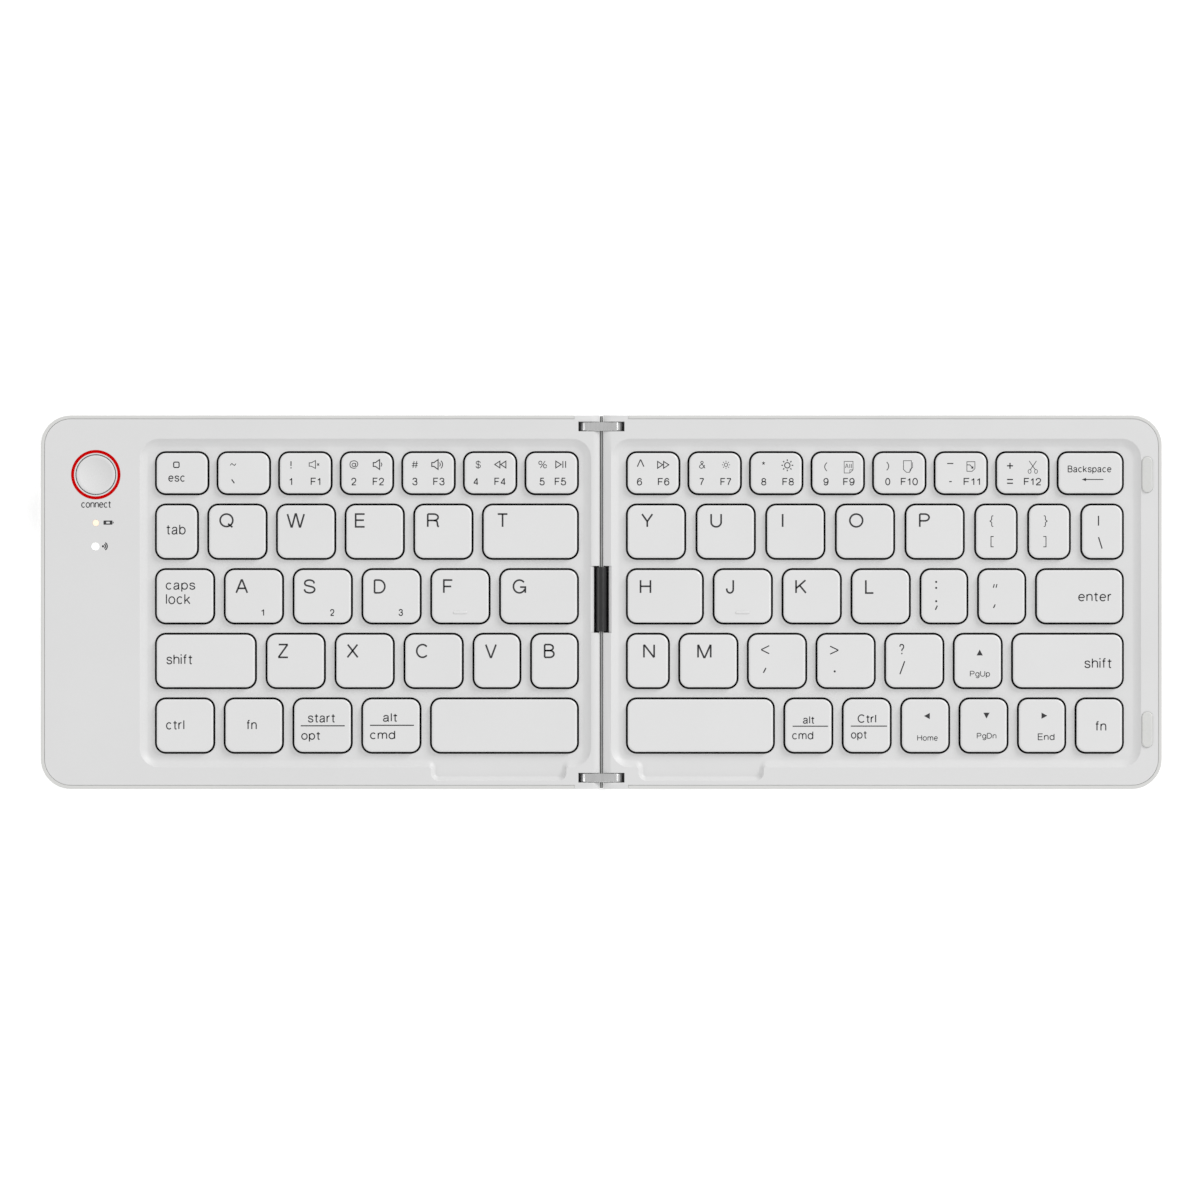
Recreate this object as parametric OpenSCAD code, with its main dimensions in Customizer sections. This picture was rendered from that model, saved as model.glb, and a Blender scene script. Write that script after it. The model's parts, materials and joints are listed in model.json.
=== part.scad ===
// Folding keyboard, shown unfolded and flat.
// Origin: middle of the hinge line, on the plane the feet stand on.
// +X runs to the right, +Y to the number row, +Z up. Millimetres.

/* [Body] */
// Distance from the hinge line to each outer end
half_len = 150; // [149.5:0.5:153]
// Depth of the body, front to back
body_d = 100; // [99.6:0.2:102]
// Height of the rim above the plane the feet stand on
rim_z = 7; // [7:0.1:7.6]
// Radius of the four outer corners
corner_r = 8; // [6:0.5:8.5]
// Thickness of the tub's side walls
wall = 0.95; // [0.9:0.05:1]
// Depth of the key tray below the rim
tray_depth = 1.2; // [1:0.1:1.2]

/* [Keys] */
// Width of a letter key's cut-out
letter_w = 16.15; // [16:0.05:16.3]
// Width of a number key's cut-out
number_w = 14.6; // [14.4:0.1:14.8]
// Distance from one row to the next
row_pitch = 17.3; // [17.2:0.05:17.4]
// Depth of a letter key's cut-out
row_d = 15.1; // [14.9:0.1:15.2]
// Depth of a number key's cut-out
number_d = 11.8; // [11.6:0.1:12]
// Gap between a cap and its cut-out
key_gap = 0.5; // [0.4:0.05:0.6]
// Corner radius of a cut-out
key_r = 2.6; // [2.2:0.1:2.8]
// Height of a keycap from its skirt to its top
cap_h = 2.2; // [2.1:0.05:2.25]

/* [Hinge] */
// Distance from the hinge line to each pivot
pivot_x = 3.75; // [3.7:0.05:3.8]
// Radius of the link's round ends
link_r = 1.9; // [1.8:0.05:1.9]
// Width of each link along the hinge line
link_w = 2.3; // [2.1:0.1:2.3]
// Radius of the hinge pins
pin_r = 0.8; // [0.7:0.05:0.9]
// Radius of the cable sleeve
sleeve_r = 1.6; // [1.4:0.1:1.6]

/* [Controls] */
// Radius of the connect button's disc
button_r = 5.2; // [5:0.1:5.2]
// Radius of the coloured ring, outside
ring_r = 6.55; // [6.4:0.05:6.7]

/* [Hidden] */
$fn = 48;

case_colour = [0.87, 0.87, 0.86];
cap_colour = [0.89, 0.89, 0.88];
steel_colour = [0.70, 0.70, 0.70];
black_colour = [0.06, 0.06, 0.06];

// Levels
foot_h = 0.5;                      // the feet stand this far out
floor_t = 1.0;                     // thickness of the tub's floor
floor_z = foot_h + floor_t;
tray_z = rim_z - tray_depth;       // top of the tray floor
under_z = tray_z - 1.0;            // underside of the tray floor
plate_z = 1.9;                     // underside of the key plate
plate_t = 0.4;
sheet_t = 0.2;
cap_z = rim_z + 0.1 - cap_h;       // bottom of a cap's skirt at rest
pivot_z = rim_z - 0.05 - 1.9;
edge_x = 0.4;                      // each half ends this far from the hinge line
edge_w = 2.2;                      // bevel of the inner upper edge: how wide
edge_drop = 1.0;                   // and how deep at the hinge line
spine_end = body_d / 2 - 0.2;      // the spine between the halves ends here
half_d = body_d / 2;
link_y = 47;                       // middle of each link
knuckle_x = 7.2;                   // the knuckles run from here to the inner edge
knuckle_y = 42;
sleeve_y = [-7.9, 9.4];            // the sleeve's two ends
notch_r = pivot_x - sleeve_r - 0.12;

// Key block: each row fills the block, with equal gaps between its cut-outs
block_front = -40.6;
left_block = [-119.5, -6.0];
right_block = [6.55, 139.85];
u = letter_w;
n = number_w;
left_rows = [
    [u, u, u, u, 39.9],
    [27.3, u, u, u, 13.1, 13.1],
    [u, u, u, u, u, 21.4],
    [11.8, u, u, u, u, 26.0],
    [n, n, n, n, n, n, n]
];
right_rows = [
    [39.9, 13.4, 13.4, 13.4, 13.4, 13.2, 13.2],
    [11.8, u, u, u, u, 13.4, 30.2],
    [20.9, u, u, u, 13.1, 13.2, 23.8],
    [u, u, u, u, u, 11.7, 11.7, 11.7],
    [n, n, n, n, n, n, n, 18.0]
];

function rows_of(side) = side < 0 ? left_rows : right_rows;
function block_of(side) = side < 0 ? left_block : right_block;
function sum_to(v, k) = k <= 0 ? 0 : v[k - 1] + sum_to(v, k - 1);
function row_gap(side, r) =
    let (w = rows_of(side)[r], b = block_of(side))
    (b[1] - b[0] - sum_to(w, len(w))) / (len(w) - 1);
function key_x0(side, r, i) =
    block_of(side)[0] + sum_to(rows_of(side)[r], i) + i * row_gap(side, r);
function key_y0(r) = block_front + r * row_pitch;
function key_d(r) = r == 4 ? number_d : row_d;
// A cut-out as [x0, y0, x1, y1]
function key_rect(side, r, i) =
    let (x = key_x0(side, r, i), y = key_y0(r))
    [x, y, x + rows_of(side)[r][i], y + key_d(r)];
function inset(q, d) = [q[0] + d, q[1] + d, q[2] - d, q[3] - d];
function middle(q) = [(q[0] + q[2]) / 2, (q[1] + q[3]) / 2];

// Screws, feet and magnets of the left half; the right half mirrors them
screw_at = [[-145, 44.5], [-145, -44.5], [-62, 45.3], [-62, -45.3], [-12, 45.3], [-12, -45.3]];
foot_at = [[-137, 38], [-137, -38], [-15, 38], [-15, -38]];
magnet_y = [-8, -34];
button_at = [-half_len + 14.7, 34.1];
lens_at = [[-half_len + 14.7, 21.2], [-half_len + 14.6, 14.9]];
lens_r = [0.86, 1.05];
port_y = 24;
port_z = 3.95;

// ---------- 2D shapes ----------

// A rectangle with four equal round corners
module round_rect(q, r) {
    translate([q[0] + r, q[1]]) square([q[2] - q[0] - 2 * r, q[3] - q[1]]);
    translate([q[0], q[1] + r]) square([q[2] - q[0], q[3] - q[1] - 2 * r]);
    for (x = [q[0] + r, q[2] - r], y = [q[1] + r, q[3] - r])
        translate([x, y]) circle(r);
}

// A left half's outline, round at its two outer corners only
module half_outline(d) {
    x0 = -half_len + d;
    y1 = half_d - d;
    r = corner_r - d;
    translate([x0 + r, -y1]) square([-edge_x - x0 - r, 2 * y1]);
    translate([x0, -y1 + r]) square([r + 1, 2 * (y1 - r)]);
    for (s = [-1, 1]) translate([x0 + r, s * (y1 - r)]) circle(r);
}

// The left tray's outline, with the wider stretch for the thumbs in front
module left_tray_outline() {
    round_rect([-half_len + 27.6, -43.1, -3.85, 42.6], 4);
    round_rect([-45, -47.2, -10, -38], 1.5);
}

module right_tray_outline() {
    round_rect([3.7, -43.1, half_len - 6.7, 42.6], 4);
    round_rect([10.6, -47.2, 42.8, -38], 1.5);
}

// ---------- Shapes both halves share, drawn for the left half ----------

// Cuts away what lies above the bevelled inner edge
module edge_bevel() {
    x = -edge_x - edge_w;
    rotate([90, 0, 0])
        linear_extrude(2 * half_d + 4, center = true)
            polygon([[x, rim_z], [-edge_x, rim_z - edge_drop], [-edge_x + 1, rim_z - edge_drop],
                     [-edge_x + 1, rim_z + 1], [x, rim_z + 1]]);
}

// Room for the cable sleeve, and for the way it swings over the inner edge
module sleeve_room() {
    y = (sleeve_y[0] + sleeve_y[1]) / 2;
    l = sleeve_y[1] - sleeve_y[0] + 0.6;
    translate([0, y, 0]) rotate([90, 0, 0]) linear_extrude(l, center = true) {
        difference() {
            translate([-pivot_x, pivot_z]) square([pivot_x + 1, 4]);
            translate([-pivot_x, pivot_z]) circle(notch_r);
        }
        translate([-pivot_x + notch_r, floor_z]) square([4, pivot_z - floor_z + 0.1]);
    }
}

// Slots that the two links swing in
module link_slots() {
    for (s = [-1, 1])
        translate([-pivot_x - link_r - 0.5, s * link_y - link_w / 2 - 0.12, pivot_z - link_r - 0.25])
            cube([pivot_x + link_r + 2, link_w + 0.24, 10]);
}

// Bores for the left half's two pins
module pin_bores() {
    for (s = [-1, 1])
        translate([-pivot_x, s * 46.35, pivot_z]) rotate([90, 0, 0])
            cylinder(r = pin_r + 0.04, h = 6.1, center = true);
}

module screw_bosses() {
    for (p = screw_at) translate([p[0], p[1], floor_z])
        cylinder(r = 1.9, h = under_z - floor_z + 0.5);
}

module screw_pilots() {
    for (p = screw_at) translate([p[0], p[1], floor_z - 1])
        cylinder(r = 0.6, h = 4.6);
}

// The tub: a floor with walls that reach the rim
module tub() {
    difference() {
        translate([0, 0, foot_h]) linear_extrude(rim_z - foot_h) half_outline(0);
        // inside
        translate([0, 0, floor_z]) linear_extrude(rim_z) difference() {
            half_outline(wall);
            translate([-edge_x - 1, -half_d]) square([3, 2 * half_d]);
        }
        // the top cover takes over near the hinge
        translate([-edge_x - 1.6, -half_d - 1, under_z]) cube([3, 2 * half_d + 2, 9]);
        for (s = [0, 1]) mirror([0, s, 0])
            translate([-knuckle_x - 0.05, knuckle_y - 0.05, floor_z]) cube([9, 10, 9]);
        // the sleeve and the flat cable pass here
        translate([-edge_x - 1.6, sleeve_y[0] - 0.9, floor_z])
            cube([3, sleeve_y[1] - sleeve_y[0] + 1.8, 9]);
        for (p = screw_at) translate([p[0], p[1], 0]) {
            cylinder(r = 1.6, h = foot_h + 0.6);
            cylinder(r = 0.75, h = 3);
        }
        for (p = foot_at) translate([p[0], p[1], 0]) cylinder(r = 4, h = foot_h + 0.3);
    }
    // ribs under the key plate
    for (y = [key_y0(1) - 1.2, key_y0(2) - 1.2, key_y0(4) - 1.2])
        translate([-118, y - 0.5, floor_z - 0.1]) cube([110, 1, plate_z - floor_z + 0.1]);
}

// The top cover without its tray and its cut-outs
module cover_blank() {
    difference() {
        union() {
            translate([0, 0, under_z]) linear_extrude(rim_z - under_z) {
                half_outline(wall + 0.05);
                translate([-knuckle_x, -half_d]) square([knuckle_x - edge_x, 2 * half_d]);
            }
            for (s = [0, 1]) mirror([0, s, 0])
                translate([-knuckle_x, knuckle_y, floor_z])
                    cube([knuckle_x - edge_x, half_d - knuckle_y, rim_z - floor_z]);
            // back wall of the sleeve's notch
            translate([-5, sleeve_y[0] - 0.8, 4.65])
                cube([5 - edge_x, sleeve_y[1] - sleeve_y[0] + 1.6, rim_z - 4.65]);
            screw_bosses();
        }
        edge_bevel();
        sleeve_room();
        link_slots();
        pin_bores();
        screw_pilots();
    }
}

module key_holes(side) {
    for (r = [0 : 4], i = [0 : len(rows_of(side)[r]) - 1])
        translate([0, 0, under_z - 1]) linear_extrude(4)
            round_rect(key_rect(side, r, i), key_r);
}

// One hollow keycap with a post for its dome
module cap(side, r, i) {
    q = inset(key_rect(side, r, i), key_gap);
    m = middle(q);
    difference() {
        translate([0, 0, cap_z]) linear_extrude(cap_h) round_rect(q, key_r - key_gap);
        translate([0, 0, cap_z - 1]) linear_extrude(cap_h)
            round_rect(inset(q, 1.0), key_r - key_gap - 1.0);
    }
    translate([m[0], m[1], cap_z - 0.15]) cylinder(r = 1.6, h = cap_h - 0.5);
}

// The small raised bar a finger finds
module homing_bar(side, r, i) {
    m = middle(key_rect(side, r, i));
    translate([m[0] - 2, m[1] - 4.6, cap_z + cap_h - 0.2]) cube([4, 0.6, 0.35]);
}

module caps(side, list) {
    for (k = list) cap(side, k[0], k[1]);
}

// Steel plate under the keys
module plate(side) {
    b = block_of(side);
    top = key_y0(4) + number_d + 1;
    difference() {
        translate([b[0] - 0.8, block_front - 0.8, plate_z])
            cube([b[1] - b[0] + 1.6, top - block_front + 0.8, plate_t]);
        // the flat cable comes up from below here
        translate([side < 0 ? b[1] - 1.6 : b[0] - 1, -7, plate_z - 1]) cube([2.6, 15.5, 3]);
    }
}

// Rubber sheet with one dome under each key, at the height of a pressed dome
module domes(side) {
    b = block_of(side);
    top = key_y0(4) + number_d;
    z = plate_z + plate_t;
    difference() {
        translate([b[0], block_front, z])
            cube([b[1] - b[0], top - block_front, sheet_t]);
        translate([side < 0 ? b[1] - 1.6 : b[0] - 1, -7, z - 1]) cube([2.6, 15.5, 3]);
    }
    for (r = [0 : 4], i = [0 : len(rows_of(side)[r]) - 1]) {
        m = middle(key_rect(side, r, i));
        translate([m[0], m[1], z + 0.1]) cylinder(r = 2, h = sheet_t + 0.9 - 0.1);
    }
}

// One scissor frame under each key, drawn folded flat
module scissor_frames(side) {
    z = plate_z + plate_t + sheet_t;
    for (r = [0 : 4], i = [0 : len(rows_of(side)[r]) - 1]) {
        m = middle(key_rect(side, r, i));
        difference() {
            translate([m[0] - 4.2, m[1] - 3.6, z]) cube([8.4, 7.2, 0.8]);
            translate([m[0] - 3, m[1] - 2.5, z - 1]) cube([6, 5, 3]);
        }
    }
}

module screw(x, y) {
    difference() {
        translate([x, y, foot_h]) {
            cylinder(r = 1.5, h = 0.58);
            cylinder(r = 0.55, h = 3.9);
        }
        for (a = [0, 90]) translate([x, y, foot_h]) rotate([0, 0, a])
            cube([1.6, 0.35, 0.6], center = true);
    }
}

module foot(x, y) {
    translate([x, y, 0]) cylinder(r = 3.9, h = foot_h + 0.3);
}

module magnet(x, y) {
    translate([x, y - 5, floor_z]) cube([2.8, 10, 3.2]);
}

// ---------- Left half ----------

// Mouth of the charge port, with round ends
module port_hole() {
    translate([-half_len - 1, port_y, port_z]) rotate([0, 90, 0]) linear_extrude(10) {
        square([2 * 1.75, 9.2 - 3.5], center = true);
        for (s = [-1, 1]) translate([0, s * (4.6 - 1.75)]) circle(1.75);
    }
}

module left_bottom_cover() color(case_colour) {
    difference() {
        tub();
        port_hole();
    }
}

module left_top_cover() color(case_colour) {
    difference() {
        cover_blank();
        translate([0, 0, tray_z]) linear_extrude(5) left_tray_outline();
        key_holes(-1);
        // room under the control panel
        translate([-half_len + 2.2, -42.4, under_z - 1]) cube([25, 84.8, tray_z - under_z + 1]);
        port_hole();
        // button, ring groove and lenses
        translate([button_at[0], button_at[1], under_z]) cylinder(r = button_r + 0.25, h = 5);
        translate([button_at[0], button_at[1], rim_z - 0.5]) difference() {
            cylinder(r = ring_r, h = 2);
            translate([0, 0, -1]) cylinder(r = ring_r - 0.6, h = 4);
        }
        for (k = [0, 1]) translate([lens_at[k][0], lens_at[k][1], under_z])
            cylinder(r = lens_r[k] + 0.03, h = 5);
    }
}

module left_key_plate() color(black_colour) plate(-1);
module left_dome_sheet() color(black_colour) domes(-1);
module left_scissors() color(black_colour) scissor_frames(-1);
module left_screws() color(steel_colour) for (p = screw_at) screw(p[0], p[1]);
module left_feet() color([0.5, 0.5, 0.5]) for (p = foot_at) foot(p[0], p[1]);
module left_magnets() color(steel_colour) for (y = magnet_y) magnet(-half_len + 2.6, y);

module battery() color([0.75, 0.76, 0.78]) {
    translate([-half_len + 8.2, -40.5, floor_z])
        linear_extrude(3.6) round_rect([0, 0, 16.2, 44], 1.2);
    // folded edge with the two leads
    translate([-half_len + 10, 3.4, floor_z + 1.4]) cube([13, 2.2, 0.8]);
}

module main_board() color([0.10, 0.35, 0.18]) {
    x = -half_len + 2.6;
    translate([x, 8, floor_z]) cube([22.4, 34, 0.8]);
    // strip that the flat cable plugs into
    translate([x + 22, -6.5, floor_z]) cube([2.2, 48.5, 0.8]);
    // switch under the button, and the chips
    translate([button_at[0] - 2.6, button_at[1] - 2.6, floor_z + 0.7]) cube([5.2, 5.2, 2]);
    translate([x + 14, 10.5, floor_z + 0.7]) cube([6, 6, 0.9]);
    translate([x + 15.5, 19.5, floor_z + 0.7]) cube([4, 5, 0.8]);
    // one small lamp below each lens
    for (k = [0, 1]) translate([lens_at[k][0] - 0.7, lens_at[k][1] - 0.5, floor_z + 0.7])
        cube([1.4, 1, 0.6]);
}

module charge_port() color(steel_colour) {
    // an oval steel mouth with a tongue inside
    translate([-half_len + 0.2, port_y, port_z]) rotate([0, 90, 0]) {
        difference() {
            linear_extrude(7.2) {
                square([2 * 1.6, 8.9 - 3.2], center = true);
                for (s = [-1, 1]) translate([0, s * (4.45 - 1.6)]) circle(1.6);
            }
            translate([0, 0, -1]) linear_extrude(7.4) {
                square([2 * 1.3, 8.3 - 2.6], center = true);
                for (s = [-1, 1]) translate([0, s * (4.15 - 1.3)]) circle(1.3);
            }
        }
        translate([-0.35, -3.3, 0.8]) cube([0.7, 6.6, 5.8]);
    }
}

module indicator_lenses() color([1.0, 0.93, 0.86])
    for (k = [0, 1]) translate([lens_at[k][0], lens_at[k][1], tray_z - 0.2])
        cylinder(r = lens_r[k], h = rim_z - tray_z + 0.2);

module connect_ring() color([0.72, 0.02, 0.02])
    translate([button_at[0], button_at[1], rim_z - 0.45]) difference() {
        cylinder(r = ring_r - 0.03, h = 0.5);
        translate([0, 0, -1]) cylinder(r = ring_r - 0.57, h = 4);
    }

module connect_button() color(cap_colour)
    translate([button_at[0], button_at[1], 0]) difference() {
        union() {
            translate([0, 0, tray_z - 0.8]) cylinder(r = button_r, h = rim_z - tray_z + 0.8);
            translate([0, 0, tray_z - 0.8]) cylinder(r = button_r + 0.9, h = 0.7);
            translate([0, 0, tray_z - 1.15]) cylinder(r = 1.2, h = 0.6);
        }
        // shallow dish
        translate([0, 0, rim_z + 29.65]) sphere(r = 30, $fn = 96);
    }

// ---------- Link ----------

module hinge_links() color(steel_colour) {
    difference() {
        for (s = [-1, 1]) translate([0, s * link_y, pivot_z]) rotate([90, 0, 0])
            linear_extrude(link_w, center = true) {
                square([2 * pivot_x, 2 * link_r], center = true);
                for (t = [-1, 1]) translate([t * pivot_x, 0]) circle(link_r);
            }
        for (s = [-1, 1], t = [-1, 1]) translate([t * pivot_x, s * link_y, pivot_z])
            rotate([90, 0, 0]) cylinder(r = pin_r, h = 5, center = true);
    }
    // thin spine in the gap between the halves, with a tab into each end of the sleeve
    translate([-0.2, -spine_end, pivot_z - 1.2]) cube([0.4, spine_end + sleeve_y[0] + 1.5, 2.4]);
    translate([-0.2, sleeve_y[1] - 1.5, pivot_z - 1.2]) cube([0.4, spine_end - sleeve_y[1] + 1.5, 2.4]);
}

module hinge_pins() color([0.6, 0.6, 0.6])
    for (s = [-1, 1], t = [-1, 1]) translate([t * pivot_x, s * 46.35, pivot_z])
        rotate([90, 0, 0]) cylinder(r = pin_r, h = 5.8, center = true);

module cable_sleeve() color(black_colour) difference() {
    translate([0, sleeve_y[0], pivot_z]) rotate([-90, 0, 0])
        cylinder(r = sleeve_r, h = sleeve_y[1] - sleeve_y[0]);
    // way through for the flat cable
    translate([-3, -6.2, 4.15]) cube([6, 13.9, 0.5]);
    // slits for the spine's tabs
    for (y = [sleeve_y[0] - 1, sleeve_y[1] - 1.55])
        translate([-0.2, y, pivot_z - 1.2]) cube([0.4, 2.55, 2.4]);
}

// Flat cable from the main board to the right key plate, under the plates and through the sleeve
cable_path = [[-123.2, 1.6], [-6.4, 1.6], [-4.4, 1.9], [-2.6, 3.9], [-1.6, 4.3],
              [1.6, 4.3], [2.6, 3.9], [4.4, 1.9], [6.9, 1.6], [22, 1.6]];
module flex_cable() color(black_colour)
    translate([0, -5.5, 0]) mirror([0, 1, 0]) rotate([90, 0, 0]) linear_extrude(12.5)
        polygon(concat(cable_path,
            [for (k = [len(cable_path) - 1 : -1 : 0]) [cable_path[k][0], cable_path[k][1] + 0.2]]));

// ---------- Right half ----------

module right_bottom_cover() color(case_colour) mirror([1, 0, 0]) tub();

module right_top_cover() color(case_colour) difference() {
    mirror([1, 0, 0]) cover_blank();
    translate([0, 0, tray_z]) linear_extrude(5) right_tray_outline();
    key_holes(1);
    // seats of the two pads
    for (y = [-34.1, 34.1]) translate([half_len - 3.92, y, rim_z - 0.6])
        linear_extrude(3) pad_outline(0.03);
}

// A pad's outline, with round ends
module pad_outline(d) {
    square([2.9 + 2 * d, 9.6 - 2.9], center = true);
    for (s = [-1, 1]) translate([0, s * (4.8 - 1.45)]) circle(1.45 + d);
}

module right_key_plate() color(black_colour) plate(1);
module right_dome_sheet() color(black_colour) domes(1);
module right_scissors() color(black_colour) scissor_frames(1);
module right_screws() color(steel_colour) for (p = screw_at) screw(-p[0], p[1]);
module right_feet() color([0.5, 0.5, 0.5]) for (p = foot_at) foot(-p[0], p[1]);
module right_magnets() color(steel_colour) for (y = magnet_y) magnet(half_len - 5.4, y);
module bumper_pads() color([0.84, 0.84, 0.83])
    for (y = [-34.1, 34.1]) translate([half_len - 3.92, y, rim_z - 0.58])
        linear_extrude(0.98) pad_outline(0);

// ---------- Keys ----------

module key_q() color(cap_colour) cap(-1, 3, 1);
module key_w() color(cap_colour) cap(-1, 3, 2);
module key_e() color(cap_colour) cap(-1, 3, 3);
module key_r() color(cap_colour) cap(-1, 3, 4);
module key_t() color(cap_colour) cap(-1, 3, 5);
module key_a() color(cap_colour) cap(-1, 2, 1);
module key_s() color(cap_colour) cap(-1, 2, 2);
module key_d() color(cap_colour) cap(-1, 2, 3);
module key_f() color(cap_colour) { cap(-1, 2, 4); homing_bar(-1, 2, 4); }
module key_g() color(cap_colour) cap(-1, 2, 5);
module key_z() color(cap_colour) cap(-1, 1, 1);
module key_x() color(cap_colour) cap(-1, 1, 2);
module key_c() color(cap_colour) cap(-1, 1, 3);
module key_v() color(cap_colour) cap(-1, 1, 4);
module key_b() color(cap_colour) cap(-1, 1, 5);
module key_space_left() color(cap_colour) cap(-1, 0, 4);
module key_y() color(cap_colour) cap(1, 3, 0);
module key_u() color(cap_colour) cap(1, 3, 1);
module key_i() color(cap_colour) cap(1, 3, 2);
module key_o() color(cap_colour) cap(1, 3, 3);
module key_p() color(cap_colour) cap(1, 3, 4);
module key_h() color(cap_colour) cap(1, 2, 0);
module key_j() color(cap_colour) { cap(1, 2, 1); homing_bar(1, 2, 1); }
module key_k() color(cap_colour) cap(1, 2, 2);
module key_l() color(cap_colour) cap(1, 2, 3);
module key_n() color(cap_colour) cap(1, 1, 0);
module key_m() color(cap_colour) cap(1, 1, 1);
module key_space_right() color(cap_colour) cap(1, 0, 0);
// Escape to 5, and 6 to delete
module keys_number_left() color(cap_colour) caps(-1, [for (i = [0 : 6]) [4, i]]);
module keys_number_right() color(cap_colour) caps(1, [for (i = [0 : 7]) [4, i]]);
// Tab, caps lock, shift and the four keys left of the space bar
module keys_modifier_left() color(cap_colour)
    caps(-1, [[3, 0], [2, 0], [1, 0], [0, 0], [0, 1], [0, 2], [0, 3]]);
// Brackets, slashes, semicolon, quote, comma and full stop
module keys_punctuation() color(cap_colour)
    caps(1, [[3, 5], [3, 6], [3, 7], [2, 4], [2, 5], [1, 2], [1, 3], [1, 4]]);
// Enter, shift, arrows and the other keys right of the space bar
module keys_modifier_right() color(cap_colour)
    caps(1, [[2, 6], [1, 5], [1, 6], [0, 1], [0, 2], [0, 3], [0, 4], [0, 5], [0, 6]]);

left_bottom_cover();
left_top_cover();
left_key_plate();
left_dome_sheet();
left_scissors();
left_screws();
left_feet();
left_magnets();
battery();
main_board();
charge_port();
indicator_lenses();
connect_ring();
connect_button();
hinge_links();
hinge_pins();
cable_sleeve();
flex_cable();
right_bottom_cover();
right_top_cover();
right_key_plate();
right_dome_sheet();
right_scissors();
right_screws();
right_feet();
right_magnets();
bumper_pads();
key_q();
key_w();
key_e();
key_r();
key_t();
key_a();
key_s();
key_d();
key_f();
key_g();
key_z();
key_x();
key_c();
key_v();
key_b();
key_space_left();
key_y();
key_u();
key_i();
key_o();
key_p();
key_h();
key_j();
key_k();
key_l();
key_n();
key_m();
key_space_right();
keys_number_left();
keys_modifier_left();
keys_number_right();
keys_punctuation();
keys_modifier_right();
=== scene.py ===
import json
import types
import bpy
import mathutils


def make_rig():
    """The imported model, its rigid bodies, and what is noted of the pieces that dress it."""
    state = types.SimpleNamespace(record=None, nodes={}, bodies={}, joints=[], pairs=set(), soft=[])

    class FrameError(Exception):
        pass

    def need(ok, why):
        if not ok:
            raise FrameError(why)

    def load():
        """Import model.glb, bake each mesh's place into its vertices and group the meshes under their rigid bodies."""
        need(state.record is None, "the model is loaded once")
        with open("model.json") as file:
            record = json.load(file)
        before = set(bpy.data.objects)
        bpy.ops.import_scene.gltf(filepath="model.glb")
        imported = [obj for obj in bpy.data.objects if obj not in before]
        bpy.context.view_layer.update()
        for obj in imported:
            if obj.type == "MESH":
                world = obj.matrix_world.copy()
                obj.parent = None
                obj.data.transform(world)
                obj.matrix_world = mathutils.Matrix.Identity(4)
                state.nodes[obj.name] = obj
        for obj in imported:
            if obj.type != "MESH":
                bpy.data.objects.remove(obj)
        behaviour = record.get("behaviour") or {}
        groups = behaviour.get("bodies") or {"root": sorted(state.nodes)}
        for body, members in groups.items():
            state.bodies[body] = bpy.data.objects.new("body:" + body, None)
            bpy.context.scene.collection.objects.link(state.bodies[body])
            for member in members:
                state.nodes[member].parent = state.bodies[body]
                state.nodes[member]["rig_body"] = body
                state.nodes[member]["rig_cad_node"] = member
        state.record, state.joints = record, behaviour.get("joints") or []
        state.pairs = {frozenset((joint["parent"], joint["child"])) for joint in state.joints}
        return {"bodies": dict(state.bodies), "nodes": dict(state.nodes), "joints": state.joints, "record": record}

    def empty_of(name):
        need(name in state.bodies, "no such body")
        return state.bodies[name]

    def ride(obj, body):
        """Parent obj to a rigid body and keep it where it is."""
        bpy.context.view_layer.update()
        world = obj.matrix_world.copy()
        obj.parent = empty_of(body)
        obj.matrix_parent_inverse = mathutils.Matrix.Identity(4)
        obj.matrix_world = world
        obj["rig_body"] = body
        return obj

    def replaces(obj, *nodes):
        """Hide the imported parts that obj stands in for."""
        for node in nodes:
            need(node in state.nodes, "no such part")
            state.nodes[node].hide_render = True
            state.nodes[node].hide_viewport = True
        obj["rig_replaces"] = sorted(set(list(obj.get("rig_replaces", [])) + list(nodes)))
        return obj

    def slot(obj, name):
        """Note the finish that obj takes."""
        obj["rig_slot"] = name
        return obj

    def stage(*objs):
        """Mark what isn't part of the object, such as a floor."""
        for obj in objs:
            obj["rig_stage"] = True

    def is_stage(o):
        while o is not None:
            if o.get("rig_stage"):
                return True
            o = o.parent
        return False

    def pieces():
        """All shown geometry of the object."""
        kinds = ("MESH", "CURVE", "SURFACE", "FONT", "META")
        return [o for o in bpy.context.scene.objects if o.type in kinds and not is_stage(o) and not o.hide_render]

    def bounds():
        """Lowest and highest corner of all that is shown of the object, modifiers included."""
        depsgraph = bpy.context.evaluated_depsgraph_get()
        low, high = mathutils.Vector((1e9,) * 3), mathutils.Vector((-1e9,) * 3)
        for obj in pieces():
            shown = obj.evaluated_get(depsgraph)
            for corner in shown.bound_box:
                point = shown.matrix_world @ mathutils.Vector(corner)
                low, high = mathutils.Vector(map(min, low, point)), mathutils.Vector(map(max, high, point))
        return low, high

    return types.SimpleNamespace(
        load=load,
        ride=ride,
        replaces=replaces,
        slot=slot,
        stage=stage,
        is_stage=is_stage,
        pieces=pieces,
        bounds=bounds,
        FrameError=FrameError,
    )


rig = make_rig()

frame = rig.load()

import json
import math

import bpy
import bmesh
from mathutils import Vector

CAD_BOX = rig.bounds()
NODE = frame["nodes"]
MM = 0.001

# ---------- Sizes, in millimetres, as in part.scad ----------

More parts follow.
